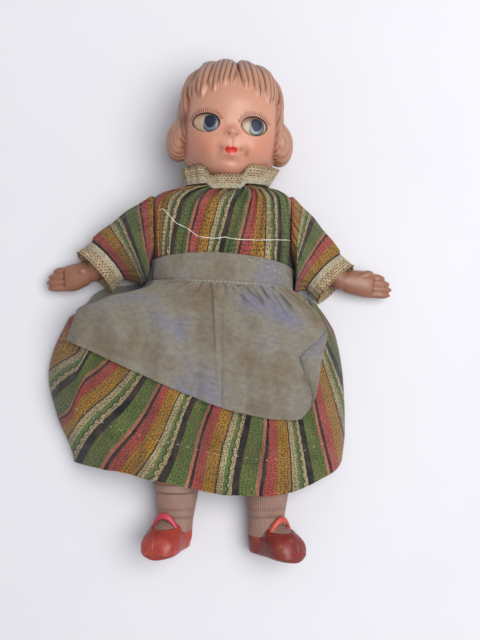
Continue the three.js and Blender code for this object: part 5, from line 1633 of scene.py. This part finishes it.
# %% [markdown]
# When a leg is raised, the cloth over it goes along and the cloth at the waist stays. The front is cut
# along the middle line into two halves. over_leg gives a point a share, from 0 with the torso to 1 with
# the leg, but the pieces are not bent by it. Lines of short stitches run along the hem.

# %% A leg's share of the cloth, and stitches
def over_leg(x, y):
    """How far cloth at x, y goes with the leg under it when that is raised."""
    return smooth(1.0, 15.0, np.abs(x)) * smooth(96.0, 46.0, np.abs(x)) * smooth(2.0, -42.0, y)


def along_hip(piece):
    """Bakes a piece's placement into its points."""
    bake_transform(piece)


def running_stitches(x, y, height, dash, gap, radius, lift, skew):
    """Short dashes of thread along the path x, y, each half a sine high, its ends in the cloth."""
    place = length_along(np.stack([x, y], -1))
    threads = []
    for start in np.arange(0.5, place[-1] - dash, dash + gap):
        at = np.linspace(start, start + dash, 7)
        px, py = np.interp(at, place, x), np.interp(at, place, y)
        py = py + skew * np.sin(start)
        rise = lift * np.sin(np.pi * np.linspace(0, 1, 7)) - 0.1
        threads.append((np.stack([px, py, height(px, py) + rise], -1), radius))
    return threads


print("share over a leg at the hem", over_leg(np.array([20.0]), np.array([-90.0])))

# %% [markdown]
# Each half of the front is a grid from the outline to the middle line, its columns closest at the edge.
# The height function lays it over the lap.

# %% Skirt front
def skirt_half(side):
    """Half of the skirt's front: outline times a quarter sine across, rows down to the sagging hem."""
    v, t = open_grid(160, 200)
    y0 = skirt_rows(v)
    outline = edge_x(LEFT_EDGE if side < 0 else RIGHT_EDGE, y0)
    x = outline * np.sin(np.pi / 2 * (t if side > 0 else 1 - t))
    y = skirt_sag(y0, v, x)
    return np.stack([x, y, skirt_height(x, y)], -1), skirt_pattern(x, y)


hem_path = row_at([[-93, -53], [-86.8, -55.9], [-62.5, -66.4], [-46.1, -71.5], [-23.6, -77.0], [-7.8, -80.5],
                   [22.6, -84.9], [41.8, -82.7], [72, -73.5]], np.linspace(0, 8, 400))
for side, name in SIDES:
    grid, uv = skirt_half(side)
    mine = hem_path[hem_path[:, 0] * side > 1]
    threads = running_stitches(*mine.T, skirt_height, 2.4, 3.4, 0.16, 0.36, 0.4)
    made, first = add_thread(cloth_faces(grid, CLOTH, uv), threads)
    half = new_piece(f"skirt_front_{name}", *made, dress_finish, None, "striped_cotton")
    two_finishes(half, faded_thread, first)
    half.data.set_sharp_from_angle(angle=math.radians(60))
    along_hip(half)
    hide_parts("skirt_front")
    print(half.name, "area mm2", round(grid_area(grid)), "faces", len(made[1]))

# %% [markdown]
# The doll lies on the back of its skirt, which is guessed: half an oval at the waist that flattens
# quickly onto the table. It has the front's outline, so the two meet at the sides.

# %% Skirt back
v, t = open_grid(90, 180)
y0 = skirt_rows(v)
xi = -np.cos(np.pi * t)
x = mix(edge_x(LEFT_EDGE, y0), edge_x(RIGHT_EDGE, y0), (1 + xi) / 2)
y = skirt_sag(y0, v, x)
low = CLOTH / 2 + 0.1
side_z = mix(WAIST_Z - 1.2, low, smooth(FLARE, FLARE - 27, y))
middle_z = mix(WAIST_Z - WAIST_DEEP, low, smooth(FLARE, FLARE - 7, y))
z = middle_z + (side_z - middle_z) * (1 - (1 - xi * xi) ** mix(0.425, 0.8, smooth(FLARE, 0, y)))
back_grid = np.stack([x - 0.8 * xi, y, z], -1)
back_cloth = cloth_faces(back_grid, CLOTH, skirt_pattern(x, np.minimum(y, FAN_Y - 20)))
skirt_back = new_piece("skirt_back_cotton", *back_cloth, dress_finish, "torso", "striped_cotton")
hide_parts("skirt_back")
print("skirt back area mm2", round(grid_area(back_grid)))

# %% [markdown]
# The apron is one thin piece gathered under a folded band. The band goes round the waist as a flat tube
# in the bodice's oval, arched upwards in front, with rolled edges. Two kinds of sewing hold it: small
# stitches along its foot and longer ones over its turned end.

# %% Apron band
def band_edge(across):
    """y of the band's foot: it falls to the right and at both sides."""
    return BAND_BOTTOM - 2.4 * across - 1.0 * across ** 2


def band_point(angle, v, lift=0.0):
    """The band round the waist, arched at the front, leaning outwards at its top."""
    front = np.maximum(0, np.sin(angle))
    crease = 0.35 * np.sin(7 * angle + 3 * v) + 0.3 * np.sin(19 * angle + 5 * v + 1) * front
    y = band_edge(np.cos(angle)) + (10.8 + 7.0 * front) * v
    out = 1.3 + 0.9 * v + lift + crease * 0.6
    point = section(angle, WAIST_HALF + out, WAIST_DEEP + out, y, WAIST_Z, 0.85)
    point[..., 2] = np.maximum(point[..., 2], LOWEST)
    return point


def band_stitches(at_v, dash, gap, radius):
    """Dashes of thread along the band at share at_v of its width, each half a sine high."""
    stitch_angle = np.linspace(math.radians(172), math.radians(8), 900)
    place = length_along(band_point(stitch_angle, np.full(900, at_v)))
    threads = []
    for start in np.arange(1, place[-1] - dash, dash + gap):
        turn_at = np.interp(np.linspace(start, start + dash, 6), place, stitch_angle)
        lift = 0.3 + 0.3 * np.sin(np.pi * np.linspace(0, 1, 6))
        threads.append((band_point(turn_at, at_v + 0 * turn_at, lift), radius))
    return threads


v, angle = round_grid(40, 360)
rolled = 0.45 * bump(v, 0, 0.07, 1) + 0.4 * bump(v - 1, 0, 0.07, 1) - 0.35 * bump(v - 0.13, 0, 0.03, 1)
band = band_point(angle, v, rolled)
down, across = np.meshgrid(15 * np.linspace(0, 1, 40), 250 * np.linspace(0, 1, 361), indexing="ij")
band_cloth = cloth_faces(band, 0.6, np.stack([across + 33.0, down], -1), True)
slope = np.linspace(0, 1, 60)
turned_end = [(band_point(mix(1.22, 0.25, slope[k:k + 5]), mix(0.86, 0.42, slope[k:k + 5]), 0.5), 0.16)
              for k in range(0, 54, 8)]
made, first = add_thread(band_cloth, band_stitches(0.08, 1.5, 0.9, 0.2) + turned_end)
band_piece = new_piece("apron_band_cotton", *made, apron_finish, "torso", "apron_cotton")
two_finishes(band_piece, faded_thread, first)
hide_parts("apron_band")
print("band area mm2", round(grid_area(band, True)))

# %% [markdown]
# The skirt part lies askew over the dress. It is laid on the skirt's own height function, so it can't
# sink in, and it bridges the steep edges. Gathers, a pressed pleat and single creases are added. The
# creases are a short list, each a straight groove with a ridge beside it, as the picture shows them.

# %% The apron's folds
APRON_LEFT = [[-37, band_edge(-1) + 1], [-58, 17.5], [-75, 14.5], [-84, 4.5], [-91.5, -15]]
APRON_RIGHT = [[38, band_edge(1) + 1], [54.5, 2], [61.5, -11], [58, -26], [53.5, -50], [46, -61.5]]
# Start x, y, end x, y, half width and depth of each crease
APRON_CREASES = [(8.5, 17.5, 23, 5.0, 1.6, 2.0), (31.6, 13.8, 40, 0.5, 1.3, 1.6), (22, 15.2, 26, 8, 0.9, 1.0),
                 (3.5, 7, 15, -11, 4.0, 1.5), (-29, 4, -22, -24, 5.0, 1.2), (-26, -3, -6, -4, 1.2, 0.8),
                 (-14, -31, 22, -38, 1.6, 0.9), (-62, 10, -50, -14, 5.0, 1.0), (30, -2, 33, -30, 4.0, 1.2)]
PLEAT_X = -5.4


def apron_height(x, y):
    """The highest point of the skirt within 5 mm, as cloth bridges it; beyond the skirt it droops."""
    inward = x - 5 * np.sign(x)
    near = [(x, y), (inward, y), (inward, y + 5), (inward, y - 5)]
    high = np.max([skirt_height(a, np.minimum(b, WAIST_Y)) for a, b in near], 0)
    beyond = smooth(1, 13, edge_x(LEFT_EDGE, y) - x) * smooth(-4, 6, y)
    return mix(high, 3.2, beyond)


def edge_lift(v):
    """How far the turned edge stands up: half a sine over the lower part."""
    return 3.2 * np.sin(np.pi * np.clip((v - 0.4) / 0.6, 0, 1))


def apron_folds(s, v, x, y):
    """Gathers under the band that soften downwards, creases, the pleat, the hem and the lifted edge."""
    gathers = (0.5 * np.sin(72 * s) + 0.35 * np.sin(121 * s + 1)) * smooth(0.45, 0.02, v)
    for x0, y0, x1, y1, half, depth in APRON_CREASES:
        length = math.hypot(x1 - x0, y1 - y0)
        along = ((x - x0) * (x1 - x0) + (y - y0) * (y1 - y0)) / length ** 2
        off = ((x - x0) * (y1 - y0) - (y - y0) * (x1 - x0)) / length / half
        fade = smooth(-0.15, 0.1, along) * smooth(1.15, 0.75, along)
        gathers = gathers + fade * depth * (0.8 * np.exp(-((off - 1.6) ** 2)) - np.exp(-(off ** 2)))
    pressed = x - PLEAT_X + 0.05 * (y - 17)
    pleat = 1.1 * smooth(2.6, 0, pressed) * smooth(-1.2, 0, pressed) * smooth(1.0, 0.5, v)
    hem = 0.45 * smooth(0.955, 0.965, v) + smooth(0.9, 1, s) * edge_lift(v)
    return gathers + pleat + hem + 0.35 * ripples(x, y, 24, 3) * smooth(0, 0.3, v)


print("apron's height over the lap, mm", apron_height(np.array([0.0]), np.array([-20.0])).round(1))

# %% [markdown]
# The apron is cut along its pleat, where no seam shows, into two halves. Its right
# edge is turned back on itself: a rolled fold, then a tongue of cloth that lies on the apron.

# %% Apron
def pleat_share(v):
    """Share across the apron where the pleat runs."""
    left, right = row_at(APRON_LEFT, v * 4), row_at(APRON_RIGHT, v * 5)
    return np.clip((PLEAT_X + 0.4 - left[..., 0]) / (right[..., 0] - left[..., 0]), 0.05, 0.95)


def apron_half(side):
    """A grid between a side edge and the pleat: x straight across, y curved down by the cloth's sag."""
    v, t = open_grid(136, 136)
    s = pleat_share(v) * t if side < 0 else mix(pleat_share(v), 1, t)
    left, right = row_at(APRON_LEFT, v * 4), row_at(APRON_RIGHT, v * 5)
    x = mix(left[..., 0], right[..., 0], s)
    skew = s ** 1.9
    y = mix(left[..., 1], right[..., 1], s) - v * (9 * s * (1 - s) + 25 * skew * (1 - skew))
    # Its top row follows the band's foot
    y = y + (1 - v) ** 3 * (band_edge(np.clip(x / 41, -1, 1)) + 1 - mix(APRON_LEFT[0][1], APRON_RIGHT[0][1], s))
    z = apron_height(x, y) + 1.35 + apron_folds(s, v, x, y)
    return np.stack([x, y, z], -1), np.stack([s * 118, 82 - 82 * v], -1)


def apron_flap():
    """The turned edge: a tongue whose width grows to 13 mm and tapers, rolled up at the fold."""
    t, w = open_grid(90, 40)
    v = mix(0.41, 0.86, t)
    fold = row_at(APRON_RIGHT, v * 5)
    wide = 0.5 + 12.5 * np.minimum(t / 0.42, ((1 - t) / 0.58) ** 1.2)
    x = fold[..., 0] + 0.2 - wide * w
    y = fold[..., 1] + 1.5 * w * (1 - t) - 1.5 * w * t
    roll = 0.8 * np.sin(np.pi * w) + 1.6 * np.sin(np.pi * t) * w * (1 - 0.6 * w)
    z = apron_height(x, y) + 2.1 + edge_lift(v) * (1 - w) + roll
    return np.stack([x, y, z], -1), np.stack([60 + 13 * w, 40 * t], -1)


for side, name in SIDES:
    grid, uv = apron_half(side)
    made = cloth_faces(grid, 0.5, uv)
    if side > 0:
        flap, flap_uv = apron_flap()
        made = merged([made, cloth_faces(flap, 0.4, flap_uv)])
    half = new_piece(f"apron_{name}", *made, apron_finish, None, "apron_cotton")
    half.data.set_sharp_from_angle(angle=math.radians(60))
    along_hip(half)
    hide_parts("apron_skirt")
    print(half.name, "area mm2", round(grid_area(grid)))

# %% [markdown]
# The parts inside keep the CAD model's shapes, since only glimpses of them show: the torso, the
# stringing and the fastenings. They just get a finish of their material.

# %% Parts inside the dress
def worn_metal():
    """Metal whose colour and roughness follow the same patches of tarnish."""
    shader = Shader("worn_wire", Metallic=1.0)
    tarnish = shader.noise(shader.place(), 300.0, 4.0)
    shader.colour(shader.ramp(tarnish, [(0.35, eye_colour(120, 112, 96)), (0.6, eye_colour(190, 186, 176))]))
    shader.rough(shader.line(tarnish, 0.4, 0.2))
    return shader.material


def elastic():
    """Braided cord: pale and dim bands of a distorted wave, which also raise it."""
    shader = Shader("elastic_cord", Roughness=0.85)
    braid = shader.node("TexWave", {"Vector": shader.place(), "Scale": 420.0, "Distortion": 2.0}).outputs["Fac"]
    shader.colour(shader.ramp(braid, [(0.2, eye_colour(172, 164, 148)), (0.8, eye_colour(222, 216, 202))]))
    shader.bump(braid, 0.0002, 0.6)
    return shader.material


inner_finishes = {"torso_shell": skin_finish}
wire_finish, elastic_finish = worn_metal(), elastic()
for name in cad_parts:
    if "washer" in name or "stud" in name or "hook" in name:
        inner_finishes[name] = wire_finish
    elif "elastic" in name:
        inner_finishes[name] = elastic_finish
for name, finish in inner_finishes.items():
    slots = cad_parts[name].data.materials
    slots.clear()
    slots.append(finish)
print("inner parts", sorted(inner_finishes))

# %% [markdown]
# The doll lies on a plain pale table, a fifth of a millimetre below the cloth. It isn't part of the doll.

# %% Table
mesh = bpy.data.meshes.new("table")
mesh.from_pydata([(-3, -3, 0), (3, -3, 0), (3, 3, 0), (-3, 3, 0)], [], [(0, 1, 2, 3)])
table = linked("table", mesh)
table.location = (0, 0, -0.0002)
shader = Shader("pale_table", Roughness=0.8)
patches = shader.noise(shader.place(), 8.0)
shader.colour(shader.blend(patches, eye_colour(222, 221, 224), eye_colour(214, 213, 217)))
mesh.materials.append(shader.material)
print("table", mesh.materials[0].name)

# %% [markdown]
# Soft even light comes from all round, and one large lamp high on the right gives the folds their
# shadows. The camera looks almost straight down from 600 mm above the table, as the photograph does.

# %% Light and camera
lamp = bpy.data.lights.new("window", "AREA")
lamp.shape, lamp.size, lamp.energy = "DISK", 1.0, 14.4
window = linked("window", lamp)
window.location = placed((420, 90, 1100))
aim = Vector(placed((0, 0, 0))) - Vector(placed((420, 90, 1100)))
window.rotation_euler = aim.to_track_quat("-Z", "Y").to_euler()

scene = bpy.context.scene
scene.world = bpy.data.worlds.new("studio")
scene.world.use_nodes = True
sky = scene.world.node_tree.nodes["Background"].inputs
sky["Color"].default_value, sky["Strength"].default_value = (0.9, 0.93, 1.0, 1.0), 0.46
scene.view_settings.view_transform = "Standard"

camera_data = bpy.data.cameras.new("camera")
camera_data.lens = 18 / math.tan(math.radians(18.3))
scene.camera = linked("camera", camera_data)
scene.camera.location = placed([0, -3.6, 600])
scene.camera.rotation_euler = (0, -math.atan(10.85 / 600), 0)
print("lens", round(camera_data.lens, 1), "mm")
